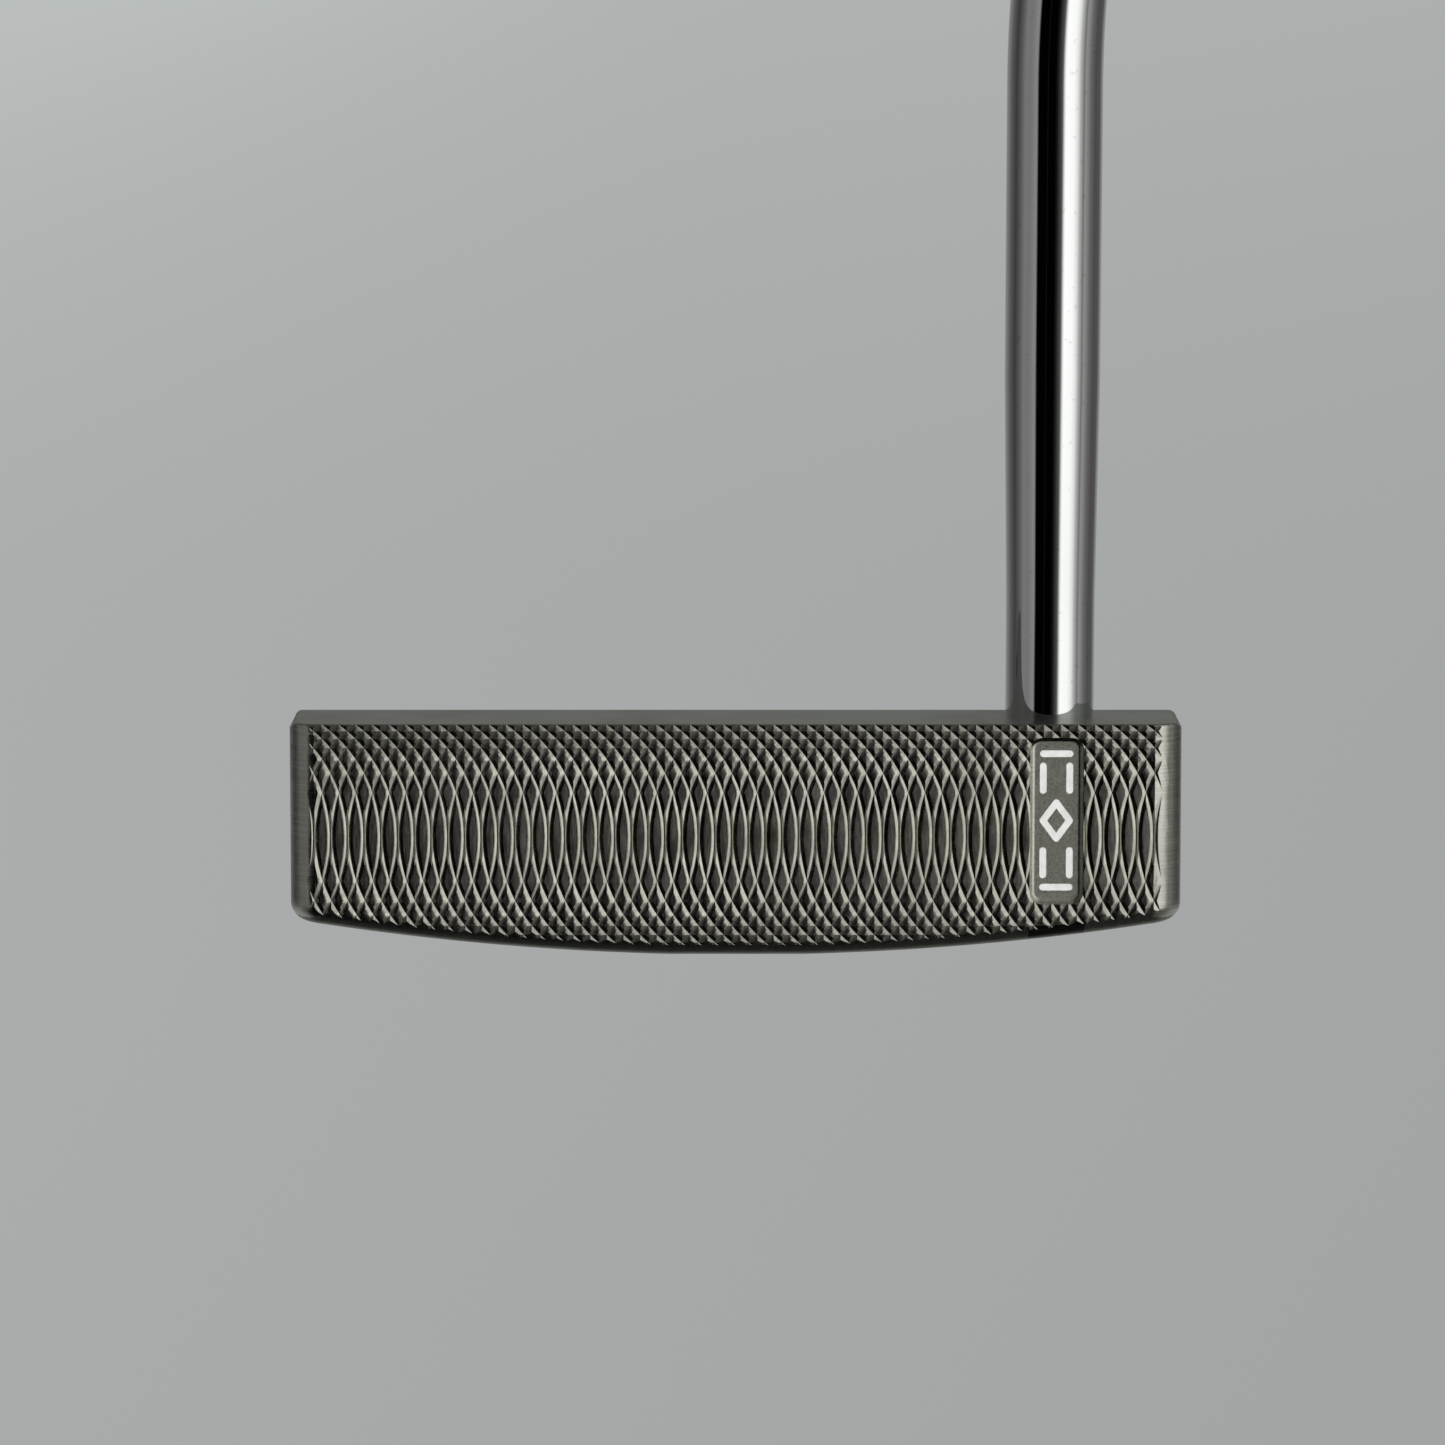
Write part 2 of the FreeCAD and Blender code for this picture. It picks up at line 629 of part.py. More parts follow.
def grip_section(share, inset, height):
    """One section of the grip: a flat on the thumb side and a round belly underneath."""
    half_width, flat, belly = (size - inset for size in grip_sizes(share))
    edge = half_width * FLAT_SHARE
    corner_x = -flat * CORNER_DEPTH_SHARE
    corner_y = edge + (half_width - edge) * CORNER_WIDTH_SHARE

    def at(x, y):
        return vec(x, y, height)

    return Part.Wire([
        line(at(-flat, -edge), at(-flat, edge)),
        arc(at(-flat, edge), at(corner_x, corner_y), at(0, half_width)),
        arc(at(0, half_width), at(belly, 0), at(0, -half_width)),
        arc(at(0, -half_width), at(corner_x, -corner_y), at(-flat, -edge)),
    ])


def grip_body(inset, start, end):
    """The grip's outer form as a solid, or that form inset by a skin, between two heights."""
    sections = []
    for index in range(GRIP_STATIONS):
        height = start + (end - start) * index / (GRIP_STATIONS - 1)
        sections.append(grip_section(height / GRIP_LENGTH, inset, height))
    return Part.makeLoft(sections, True, True)


def grip_bore(length):
    """The hole through the grip for the taped shaft."""
    return cylinder(BORE_IN_GRIP, length + 2 * MARGIN, vec(0, 0, -MARGIN), vec(0, 0, 1))


def grip_marks(thickness):
    """Generic bars on the flat near the cap, standing on the floor of their recesses."""
    marks = []
    half = GRIP_MARK_HALF_SPAN
    for index in range(GRIP_MARK_COUNT):
        height = GRIP_LENGTH - GRIP_MARK_BELOW_CAP - GRIP_MARK_SPACING * index
        floor_x = GRIP_MARK_CUT - grip_sizes(height / GRIP_LENGTH)[1]
        corner = vec(floor_x - thickness, -half, height)
        marks.append(Part.makeBox(thickness, 2 * half, GRIP_MARK_WIDTH, corner))
    return marks


def grip_core():
    """The light foam underlisting between the tape and the skin."""
    end = GRIP_LENGTH - CAP_THICKNESS
    return on_grip(grip_body(SKIN_THICKNESS, COLLAR_LENGTH, end).cut(grip_bore(GRIP_LENGTH)))


def grip_skin():
    """The outer sleeve that the hands hold."""
    end = GRIP_LENGTH - CAP_THICKNESS
    skin = grip_body(0, COLLAR_LENGTH, end).cut(grip_body(SKIN_THICKNESS, COLLAR_LENGTH, end))
    for recess in grip_marks(GRIP_MARK_CUT + MARGIN):
        skin = skin.cut(recess)
    return on_grip(skin)


def grip_mark_fill():
    """The paint in the grip's marks."""
    return on_grip(Part.makeCompound(grip_marks(GRIP_MARK_FILL)))


def grip_cap():
    """The hard end cap with its vent hole."""
    start = GRIP_LENGTH - CAP_THICKNESS
    shoulder = GRIP_LENGTH - CAP_CHAMFER
    lower = Part.makeLoft([
        grip_section(start / GRIP_LENGTH, 0, start),
        grip_section(start / GRIP_LENGTH, 0, shoulder),
    ], True, True)
    upper = Part.makeLoft([
        grip_section(start / GRIP_LENGTH, 0, shoulder),
        grip_section(start / GRIP_LENGTH, CAP_CHAMFER, GRIP_LENGTH),
    ], True, True)
    cap = lower.fuse(upper).removeSplitter()
    vent = cylinder(VENT_RADIUS, CAP_THICKNESS + 2 * MARGIN, vec(0, 0, start - MARGIN), vec(0, 0, 1))
    return on_grip(cap.cut(vent))


def grip_collar():
    """The moulded ring at the mouth that closes the skin on to the shaft."""
    collar = Part.makeLoft([
        grip_section(0, COLLAR_LIP, 0),
        grip_section(COLLAR_LENGTH / GRIP_LENGTH, 0, COLLAR_LENGTH),
    ], True, True)
    return on_grip(collar.cut(grip_bore(COLLAR_LENGTH)))


def grip_tape():
    """The double-sided tape wound on the shaft under the grip."""
    return sleeve(BUTT_RADIUS, BORE_IN_GRIP, GRIP_MOUTH_S + TAPE_SHORT_OF_MOUTH, CAP_S)


# ---------------------------------------------------------------- all nodes

def build_nodes():
    """Every piece by its node name."""
    return {
        "head_body": head_body(),
        "badge_mark_fill": Part.makeCompound([on_face(mark) for mark in badge_marks(MARK_FILL)]),
        "sight_line_fill": sight_bar(SIGHT_FILL),
        "toe_weight": sole_weight(-1),
        "heel_weight": sole_weight(1),
        "shaft": shaft(),
        "shaft_bond": shaft_bond(),
        "tip_plug": tip_plug(),
        "shaft_band": shaft_band(),
        "grip_tape": grip_tape(),
        "grip_core": grip_core(),
        "grip_skin": grip_skin(),
        "grip_mark_fill": grip_mark_fill(),
        "grip_cap": grip_cap(),
        "grip_collar": grip_collar(),
    }


def main():
    os.makedirs("parts", exist_ok=True)
    for name, shape in build_nodes().items():
        shape.exportStep(f"parts/{name}.step")
        volume = shape.Volume / 1000
        print(f"{name}: {len(shape.Solids)} solid(s), {volume:.3f} cm3, valid {shape.isValid()}")


main()
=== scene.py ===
import logging
import math
from dataclasses import dataclass
from enum import Enum
from typing import Callable, Iterable, Sequence

import bmesh
import bpy
import numpy as np
from mathutils import Matrix, Quaternion, Vector
from mathutils.geometry import delaunay_2d_cdt


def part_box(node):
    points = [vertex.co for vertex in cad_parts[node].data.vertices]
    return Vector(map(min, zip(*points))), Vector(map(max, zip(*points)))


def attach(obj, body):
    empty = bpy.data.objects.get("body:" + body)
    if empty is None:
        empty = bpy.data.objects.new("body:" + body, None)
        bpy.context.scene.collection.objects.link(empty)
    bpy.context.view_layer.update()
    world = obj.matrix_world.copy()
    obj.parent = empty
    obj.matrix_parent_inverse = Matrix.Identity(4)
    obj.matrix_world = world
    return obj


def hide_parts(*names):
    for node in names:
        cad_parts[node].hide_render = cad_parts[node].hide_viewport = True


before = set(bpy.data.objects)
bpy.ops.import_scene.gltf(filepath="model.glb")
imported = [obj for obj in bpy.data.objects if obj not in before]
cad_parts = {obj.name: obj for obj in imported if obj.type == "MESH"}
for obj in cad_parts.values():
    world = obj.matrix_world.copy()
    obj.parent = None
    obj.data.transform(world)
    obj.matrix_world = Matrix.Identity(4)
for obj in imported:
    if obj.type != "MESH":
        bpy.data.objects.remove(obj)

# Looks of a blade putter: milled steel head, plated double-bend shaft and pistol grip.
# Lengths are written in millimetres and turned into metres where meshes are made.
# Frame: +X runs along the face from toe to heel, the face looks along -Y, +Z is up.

LOG = logging.getLogger("putter")
ROOT = "root"
MM = 0.001
RAGGED_SHARE = 0.06
GRAIN_SPAN = (0.3, 0.7)
FLAT_FACE_WEIGHT = 80
Socket = bpy.types.NodeSocket
Colour = tuple[float, float, float]


class Slot(Enum):
    """Slot names handed to fix() with each new piece; fix() does not read them."""

    HEAD = "head_steel"
    WEIGHT = "weight_steel"
    SHAFT = "shaft_plating"
    RUBBER = "grip_rubber"


class HeadZone(Enum):
    """Finishes on the head, in the order of its material slots."""

    BLASTED = 0
    GROOVE = 1
    LAND = 2
    CORNER = 3
    BADGE = 4
    # Bore finish; also the painted shade on the badge pocket's -X-facing wall.
    BORE_AND_SHADE = 5
    # Near-black painted shade under the badge pocket's top lip.
    PAINTED_UNDERCUT_SHADE = 6


# ------------------------------------------------------------------ node sheets

def grey(value: float) -> Colour:
    """Returns the grey colour of one linear value."""
    return (value, value, value)


class NodeSheet:
    """Adds and joins nodes in one shader tree."""

    def __init__(self, tree: bpy.types.NodeTree) -> None:
        """Starts on a tree.

        Args:
            tree: the tree that takes the nodes.
        """
        self.tree = tree

    def add(self, kind: str, **settings: object) -> bpy.types.Node:
        """Adds a node.

        Args:
            kind: the node's type name.
            **settings: properties to set on it.

        Returns:
            The new node.
        """
        node = self.tree.nodes.new(kind)
        for name, value in settings.items():
            setattr(node, name, value)
        return node

    def feed(self, target: Socket, value: object) -> None:
        """Links a socket into the target, or sets a plain value on it.

        Args:
            target: the input socket.
            value: a socket, a number or a tuple.
        """
        if isinstance(value, bpy.types.NodeSocket):
            self.tree.links.new(value, target)
            return
        if isinstance(value, tuple) and len(value) == 3 and target.type == "RGBA":
            value = (*value, 1.0)
        target.default_value = value

    def maths(self, operation: str, first: object, second: object = 0.0, clamp: bool = False) -> Socket:
        """Adds a Math node.

        Args:
            operation: the node's operation.
            first: first input.
            second: second input.
            clamp: keeps the result within 0 and 1.

        Returns:
            The result socket.
        """
        node = self.add("ShaderNodeMath", operation=operation, use_clamp=clamp)
        self.feed(node.inputs[0], first)
        self.feed(node.inputs[1], second)
        return node.outputs[0]

    def vector(self, operation: str, first: object, second: object = (0.0, 0.0, 0.0)) -> bpy.types.Node:
        """Adds a Vector Math node and returns it.

        Args:
            operation: the node's operation.
            first: first input.
            second: second input.

        Returns:
            The node.
        """
        node = self.add("ShaderNodeVectorMath", operation=operation)
        self.feed(node.inputs[0], first)
        self.feed(node.inputs[1], second)
        return node

    def span(self, value: object, low: float, high: float, start: float = 0.0, end: float = 1.0) -> Socket:
        """Maps a range smoothly on to another.

        Args:
            value: the input.
            low: input value that gives start.
            high: input value that gives end.
            start: output at low.
            end: output at high.

        Returns:
            The result socket.
        """
        node = self.add("ShaderNodeMapRange", interpolation_type="SMOOTHSTEP")
        for name, number in zip(("From Min", "From Max", "To Min", "To Max"), (low, high, start, end)):
            node.inputs[name].default_value = number
        self.feed(node.inputs["Value"], value)
        return node.outputs["Result"]

    def blend(self, share: object, first: object, second: object, mode: str = "MIX") -> Socket:
        """Mixes two colours.

        Args:
            share: how much of the second shows.
            first: a colour or socket.
            second: a colour or socket.
            mode: the blend type.

        Returns:
            The colour socket.
        """
        node = self.add("ShaderNodeMix", data_type="RGBA", blend_type=mode)
        self.feed(node.inputs["Factor"], share)
        self.feed(node.inputs[6], first)
        self.feed(node.inputs[7], second)
        return node.outputs[2]

    def steps(self, value: object, stops: Sequence[tuple[float, Colour]]) -> Socket:
        """Adds a colour ramp.

        Args:
            value: where along the ramp.
            stops: positions and colours in order.

        Returns:
            The colour socket.
        """
        node = self.add("ShaderNodeValToRGB")
        ramp = node.color_ramp
        while len(ramp.elements) < len(stops):
            ramp.elements.new(1.0)
        for element, (place, colour) in zip(ramp.elements, stops):
            element.position = place
            element.color = (*colour, 1.0)
        self.feed(node.inputs[0], value)
        return node.outputs[0]

    def noise(self, place: object, scale: float, detail: float = 3.0, roughness: float = 0.55) -> Socket:
        """Adds a noise texture and returns its value socket.

        Args:
            place: where on the piece.
            scale: how fine the noise is.
            detail: how many finer layers it has.
            roughness: how much the finer layers show.

        Returns:
            The value socket.
        """
        node = self.add("ShaderNodeTexNoise")
        node.inputs["Scale"].default_value = scale
        node.inputs["Detail"].default_value = detail
        node.inputs["Roughness"].default_value = roughness
        self.feed(node.inputs["Vector"], place)
        return node.outputs[0]

    def use(self, effect: bpy.types.NodeTree, **inputs: object) -> bpy.types.Node:
        """Places a shared effect.

        Args:
            effect: the node group.
            **inputs: values for its sockets, with spaces written as underscores.

        Returns:
            The group node.
        """
        node = self.add("ShaderNodeGroup", node_tree=effect)
        for name, value in inputs.items():
            self.feed(node.inputs[name.replace("_", " ")], value)
        return node


def open_material(name: str) -> tuple[bpy.types.Material, NodeSheet, bpy.types.Node]:
    """Opens a material.

    Args:
        name: the material's name.

    Returns:
        The material, its node sheet and its Principled shader.
    """
    material = bpy.data.materials.new(name)
    material.use_nodes = True
    shader = next(node for node in material.node_tree.nodes if node.type == "BSDF_PRINCIPLED")
    return material, NodeSheet(material.node_tree), shader


# ------------------------------------------------------------------ shared effects

class Effects:
    """Shader node groups that more than one finish uses, each built once."""

    def __init__(self) -> None:
        """Builds the groups."""
        self.grain = self._grain()
        self.smudge = self._smudge()
        self.flecks = self._flecks()
        self.edges = self._edges()

    @staticmethod
    def _open(name: str, inputs: Iterable[tuple[str, str, object]], outputs: Iterable[str]) -> tuple:
        """Opens a group.

        Args:
            name: the group's name.
            inputs: name, socket type and default of each input.
            outputs: names of the value outputs.

        Returns:
            The tree, its sheet, the input node and the output node.
        """
        tree = bpy.data.node_groups.new(name, "ShaderNodeTree")
        for label, kind, default in inputs:
            socket = tree.interface.new_socket(label, in_out="INPUT", socket_type=kind)
            socket.default_value = default
        for label in outputs:
            tree.interface.new_socket(label, in_out="OUTPUT", socket_type="NodeSocketFloat")
        sheet = NodeSheet(tree)
        return tree, sheet, sheet.add("NodeGroupInput"), sheet.add("NodeGroupOutput")

    @staticmethod
    def _scaled(sheet: NodeSheet, scale: Socket) -> Socket:
        """Returns the place on the piece, multiplied by a scale.

        Args:
            sheet: the node sheet.
            scale: the scale's socket.

        Returns:
            The scaled place.
        """
        scaled = sheet.vector("SCALE", sheet.add("ShaderNodeTexCoord").outputs["Object"])
        sheet.feed(scaled.inputs["Scale"], scale)
        return scaled.outputs[0]

    def _grain(self) -> bpy.types.NodeTree:
        """Fine lines or grit, stretched along chosen axes.

        Returns:
            The group.
        """
        tree, sheet, given, result = self._open(
            "grain", [("Stretch", "NodeSocketVector", (1.0, 1.0, 1.0))], ["Value"]
        )
        place = sheet.add("ShaderNodeTexCoord").outputs["Object"]
        stretched = sheet.vector("MULTIPLY", place, given.outputs["Stretch"]).outputs[0]
        sheet.feed(result.inputs["Value"], sheet.noise(stretched, 1.0, detail=4.0, roughness=0.62))
        return tree

    def _smudge(self) -> bpy.types.NodeTree:
        """Broad handling marks, 0 clean to 1 smudged.

        Returns:
            The group.
        """
        tree, sheet, given, result = self._open(
            "smudge",
            [("Scale", "NodeSocketFloat", 60.0), ("Amount", "NodeSocketFloat", 0.5)],
            ["Mask"],
        )
        place = self._scaled(sheet, given.outputs["Scale"])
        cloud = sheet.span(sheet.noise(place, 1.0, detail=5.0, roughness=0.6), low=0.42, high=0.68)
        held = sheet.maths("MULTIPLY", cloud, given.outputs["Amount"], clamp=True)
        sheet.feed(result.inputs["Mask"], held)
        return tree

    def _flecks(self) -> bpy.types.NodeTree:
        """Sparse small specks, 1 on a speck.

        Returns:
            The group.
        """
        tree, sheet, given, result = self._open(
            "flecks",
            [("Scale", "NodeSocketFloat", 900.0), ("Amount", "NodeSocketFloat", 0.5)],
            ["Mask"],
        )
        place = self._scaled(sheet, given.outputs["Scale"])
        speck = sheet.span(sheet.noise(place, 1.0, detail=2.0, roughness=0.5), low=0.66, high=0.72)
        held = sheet.maths("MULTIPLY", speck, given.outputs["Amount"], clamp=True)
        sheet.feed(result.inputs["Mask"], held)
        return tree

    def _edges(self) -> bpy.types.NodeTree:
        """Raised edges that are brightened, partly as rub wear and partly as a painted highlight, and
        hollows that hold dirt.

        Returns:
            The group.
        """
        tree, sheet, given, result = self._open(
            "edges", [("Break", "NodeSocketFloat", 0.5)], ["Raised", "Hollow"]
        )
        point = sheet.add("ShaderNodeNewGeometry").outputs["Pointiness"]
        place = sheet.add("ShaderNodeTexCoord").outputs["Object"]
        ragged = sheet.maths("MULTIPLY", sheet.noise(place, scale=1400.0), given.outputs["Break"])
        height = sheet.maths("ADD", point, sheet.maths("MULTIPLY", ragged, RAGGED_SHARE))
        sheet.feed(result.inputs["Raised"], sheet.span(height, low=0.53, high=0.62))
        sheet.feed(result.inputs["Hollow"], sheet.span(point, low=0.47, high=0.38))
        return tree


# ------------------------------------------------------------------ finishes

class Finish:
    """Base of every finish: opens a material and closes it on one Principled shader."""

    name: str

    def open(self) -> tuple[bpy.types.Material, NodeSheet, bpy.types.Node]:
        """Opens the finish's own material, as open_material does."""
        return open_material(self.name)

    @staticmethod
    def bump(
        sheet: NodeSheet, shader: bpy.types.Node, height: object, distance: float, strength: float
    ) -> None:
        """Adds a bump.

        Args:
            sheet: the node sheet.
            shader: the shader that takes the normal.
            height: the height socket.
            distance: depth of the bump in metres.
            strength: share of it that shows.
        """
        node = sheet.add("ShaderNodeBump")
        node.inputs["Distance"].default_value = distance
        node.inputs["Strength"].default_value = strength
        sheet.feed(node.inputs["Height"], height)
        sheet.feed(shader.inputs["Normal"], node.outputs[0])


@dataclass(frozen=True)
class Steel(Finish):
    """Satin or milled steel with grain, edges brightened by rub wear and a painted highlight, smudges and
    dirt in hollows.
    """

    name: str
    tone: Colour
    grain: tuple[float, float, float]
    roughness: float = 0.3
    roughness_swing: float = 0.12
    tone_swing: float = 0.25
    bump_depth: float = 0.000004
    bump_strength: float = 0.5
    dirt: float = 0.0
    fleck: float = 0.0
    wear_and_highlight: float = 0.0
    hollow: float = 0.0
    smudge_share: float = 0.14
    smudge_roughness: float = 0.08
    smudge_tone: Colour = (0.16, 0.14, 0.11)
    dirt_tone: Colour = (0.10, 0.08, 0.06)
    fleck_tone: Colour = (0.05, 0.045, 0.04)
    hollow_tone: Colour = (0.03, 0.027, 0.022)
    rubbed_and_highlight_tone: Colour = (0.85, 0.84, 0.79)

    def material(self, effects: Effects) -> bpy.types.Material:
        """Builds the material.

        Args:
            effects: the shared effects.

        Returns:
            The material.
        """
        material, sheet, shader = self.open()
        grain = sheet.use(effects.grain, Stretch=self.grain).outputs["Value"]
        smudge = sheet.use(effects.smudge, Scale=70.0, Amount=1.0).outputs["Mask"]
        swing = sheet.span(grain, *GRAIN_SPAN, 1.0 - self.tone_swing, 1.0 + self.tone_swing)
        lit = sheet.vector("SCALE", self.tone)
        sheet.feed(lit.inputs["Scale"], swing)
        smudged = sheet.maths("MULTIPLY", smudge, self.smudge_share)
        colour = sheet.blend(smudged, lit.outputs[0], self.smudge_tone)
        if self.dirt > 0.0:
            patch = sheet.use(effects.smudge, Scale=260.0, Amount=self.dirt).outputs["Mask"]
            colour = sheet.blend(patch, colour, self.dirt_tone)
        if self.fleck > 0.0:
            fleck = sheet.use(effects.flecks, Scale=4200.0, Amount=self.fleck).outputs["Mask"]
            colour = sheet.blend(fleck, colour, self.fleck_tone)
        if self.wear_and_highlight > 0.0 or self.hollow > 0.0:
            edges = sheet.use(effects.edges, Break=1.0)
            held = sheet.maths("MULTIPLY", edges.outputs["Hollow"], self.hollow)
            colour = sheet.blend(held, colour, self.hollow_tone)
            # Raised edges are brightened: partly rub wear, partly a painted highlight standing in for edge
            # rounding that the mesh lacks.
            rubbed_and_highlight = sheet.maths("MULTIPLY", edges.outputs["Raised"], self.wear_and_highlight)
            colour = sheet.blend(rubbed_and_highlight, colour, self.rubbed_and_highlight_tone)
        sheet.feed(shader.inputs["Base Color"], colour)
        shader.inputs["Metallic"].default_value = 1.0
        low = self.roughness - self.roughness_swing / 2
        rough = sheet.span(grain, *GRAIN_SPAN, low, low + self.roughness_swing)
        rough = sheet.maths("ADD", rough, sheet.maths("MULTIPLY", smudge, self.smudge_roughness))
        sheet.feed(shader.inputs["Roughness"], rough)
        self.bump(sheet, shader, grain, self.bump_depth, self.bump_strength)
        return material


@dataclass(frozen=True)
class Plating(Finish):
    """Bright plating with faint drawing lines and wipe marks."""

    name: str = "bright_plating"
    tone: Colour = (0.86, 0.87, 0.87)
    roughness: float = 0.035
    wiped_share: float = 0.08
    wiped_tone: Colour = (0.6, 0.6, 0.58)
    wiped_roughness: float = 0.05
    fleck_tone: Colour = (0.5, 0.5, 0.5)
    drawn_roughness: float = 0.02
    bump_depth: float = 0.000002
    bump_strength: float = 0.35

    def material(self, effects: Effects) -> bpy.types.Material:
        """Builds the material.

        Args:
            effects: the shared effects.

        Returns:
            The material.
        """
        material, sheet, shader = self.open()
        drawn = sheet.use(effects.grain, Stretch=(900.0, 900.0, 14.0)).outputs["Value"]
        wiped = sheet.use(effects.smudge, Scale=45.0, Amount=1.0).outputs["Mask"]
        fleck = sheet.use(effects.flecks, Scale=1500.0, Amount=0.35).outputs["Mask"]
        colour = sheet.blend(sheet.maths("MULTIPLY", wiped, self.wiped_share), self.tone, self.wiped_tone)
        sheet.feed(shader.inputs["Base Color"], sheet.blend(fleck, colour, self.fleck_tone))
        shader.inputs["Metallic"].default_value = 1.0
        rough = sheet.maths("ADD", sheet.maths("MULTIPLY", wiped, self.wiped_roughness), self.roughness)
        rough = sheet.maths("ADD", rough, sheet.maths("MULTIPLY", drawn, self.drawn_roughness))
        sheet.feed(shader.inputs["Roughness"], rough)
        self.bump(sheet, shader, drawn, self.bump_depth, self.bump_strength)
        return material


@dataclass(frozen=True)
class Coat(Finish):
    """A plain coloured layer: paint, film, rubber, plastic, foam, cloth or adhesive."""

    name: str
    tone: Colour
    shade: Colour
    roughness: float = 0.5
    roughness_swing: float = 0.15
    grain: tuple[float, float, float] = (900.0, 900.0, 900.0)
    bump_depth: float = 0.00002
    bump_strength: float = 0.4
    fleck: float = 0.2
    gloss_coat: float = 0.0
    smudge_polish: float = 0.07

    def material(self, effects: Effects) -> bpy.types.Material:
        """Builds the material.

        Args:
            effects: the shared effects.

        Returns:
            The material.
        """
        material, sheet, shader = self.open()
        grain = sheet.use(effects.grain, Stretch=self.grain).outputs["Value"]
        smudge = sheet.use(effects.smudge, Scale=90.0, Amount=1.0).outputs["Mask"]
        fleck = sheet.use(effects.flecks, Scale=1800.0, Amount=self.fleck).outputs["Mask"]
        colour = sheet.blend(sheet.span(grain, *GRAIN_SPAN), self.tone, self.shade)
        colour = sheet.blend(fleck, colour, self.shade)
        sheet.feed(shader.inputs["Base Color"], colour)
        low = self.roughness - self.roughness_swing / 2
        rough = sheet.span(grain, *GRAIN_SPAN, low, low + self.roughness_swing)
        rough = sheet.maths("SUBTRACT", rough, sheet.maths("MULTIPLY", smudge, self.smudge_polish))
        sheet.feed(shader.inputs["Roughness"], rough)
        shader.inputs["Coat Weight"].default_value = self.gloss_coat
        self.bump(sheet, shader, grain, self.bump_depth, self.bump_strength)
        return material


# ------------------------------------------------------------------ mesh steps

def new_piece(name: str, points: np.ndarray, faces: Sequence[Sequence[int]]) -> bpy.types.Object:
    """Makes a mesh object.

    Args:
        name: the piece's name.
        points: corner points in millimetres.
        faces: corner indices of each face.

    Returns:
        The object, linked to the scene.
    """
    mesh = bpy.data.meshes.new(name)
    mesh.from_pydata((np.asarray(points, float) * MM).tolist(), [], [list(face) for face in faces])
    mesh.update()
    return link(name, mesh)


def link(name: str, data: bpy.types.ID) -> bpy.types.Object:
    """Makes an object of a mesh, lamp or camera and links it to the scene.

    Args:
        name: the object's name.
        data: what it shows.

    Returns:
        The object.
    """
    made = bpy.data.objects.new(name, data)
    bpy.context.scene.collection.objects.link(made)
    return made


def outward(piece: bpy.types.Object) -> None:
    """Turns every face of a closed piece outward.

    Args:
        piece: the object.
    """
    work = bmesh.new()
    work.from_mesh(piece.data)
    bmesh.ops.recalc_face_normals(work, faces=work.faces)
    work.to_mesh(piece.data)
    work.free()


def smooth(piece: bpy.types.Object, sharp_angle: float) -> None:
    """Shades a piece smooth, except at edges that turn by more than an angle in degrees.

    Args:
        piece: the object.
        sharp_angle: edges that turn by more than this many degrees stay sharp.
    """
    mesh = piece.data
    mesh.polygons.foreach_set("use_smooth", [True] * len(mesh.polygons))
    mesh.set_sharp_from_angle(angle=math.radians(sharp_angle))


def soften(piece: bpy.types.Object, sharp_angle: float = 26.0) -> None:
    """Smooths a piece's shading, but keeps its sharp edges and flat faces.

    Args:
        piece: the object.
        sharp_angle: edges that turn by more than this many degrees stay sharp.
    """
    mesh = piece.data
    if "custom_normal" in mesh.attributes:
        mesh.attributes.remove(mesh.attributes["custom_normal"])
    smooth(piece, sharp_angle)
    weighted = piece.modifiers.new("flat_faces", "WEIGHTED_NORMAL")
    weighted.keep_sharp = True
    weighted.weight = FLAT_FACE_WEIGHT


def dress(piece: bpy.types.Object, *materials: bpy.types.Material) -> None:
    """Gives a piece its materials in slot order.

    Args:
        piece: the object.
        *materials: its materials.
    """
    piece.data.materials.clear()
    for material in materials:
        piece.data.materials.append(material)


def fix(piece: bpy.types.Object, slot: Slot, *nodes: str) -> bpy.types.Object:
    """Fixes a new piece to the frame in place of CAD nodes.

    Args:
        piece: the object.
        slot: not used.
        *nodes: the nodes that it stands for.

    Returns:
        The piece.
    """
    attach(piece, ROOT)
    if nodes:
        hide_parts(*nodes)
    return piece


def carve(piece: bpy.types.Object, cutter: bpy.types.Object, solver: str = "MANIFOLD") -> None:
    """Cuts one closed piece out of another and removes the cutter.

    Args:
        piece: the object that is cut.
        cutter: the object that is taken away.
        solver: the boolean solver.
    """
    cut = piece.modifiers.new("cut", "BOOLEAN")
    cut.operation = "DIFFERENCE"
    cut.solver = solver
    cut.object = cutter
    graph = bpy.context.evaluated_depsgraph_get()
    graph.update()
    mesh = bpy.data.meshes.new_from_object(piece.evaluated_get(graph))
    piece.modifiers.remove(cut)
    old = piece.data
    piece.data = mesh
    bpy.data.meshes.remove(old)
    spare = cutter.data
    bpy.data.objects.remove(cutter)
    bpy.data.meshes.remove(spare)


def lathe(profile: Sequence[tuple[float, float]], sides: int) -> tuple[np.ndarray, list[tuple[int, ...]]]:
    """Turns a profile about the Z axis; the first and last points lie on it.

    Args:
        profile: radius and height of each point, in millimetres.
        sides: corners round the axis.

    Returns:
        The points and the faces.
    """
    turn = np.arange(sides) * 2 * math.pi / sides
    rings = [
        np.column_stack((radius * np.cos(turn), radius * np.sin(turn), np.full(sides, height)))
        for radius, height in profile[1:-1]
    ]
    first = np.array([[0.0, 0.0, profile[0][1]]])
    last = np.array([[0.0, 0.0, profile[-1][1]]])
    points = np.vstack([first, *rings, last])
    faces: list[tuple[int, ...]] = []
    for side in range(sides):
        after = (side + 1) % sides
        faces.append((0, 1 + after, 1 + side))
        for ring in range(len(rings) - 1):
            low = 1 + ring * sides
            faces.append((low + side, low + after, low + sides + after, low + sides + side))
        top = 1 + (len(rings) - 1) * sides
        faces.append((top + side, top + after, len(points) - 1))
    return points, faces


# ------------------------------------------------------------------ face pattern

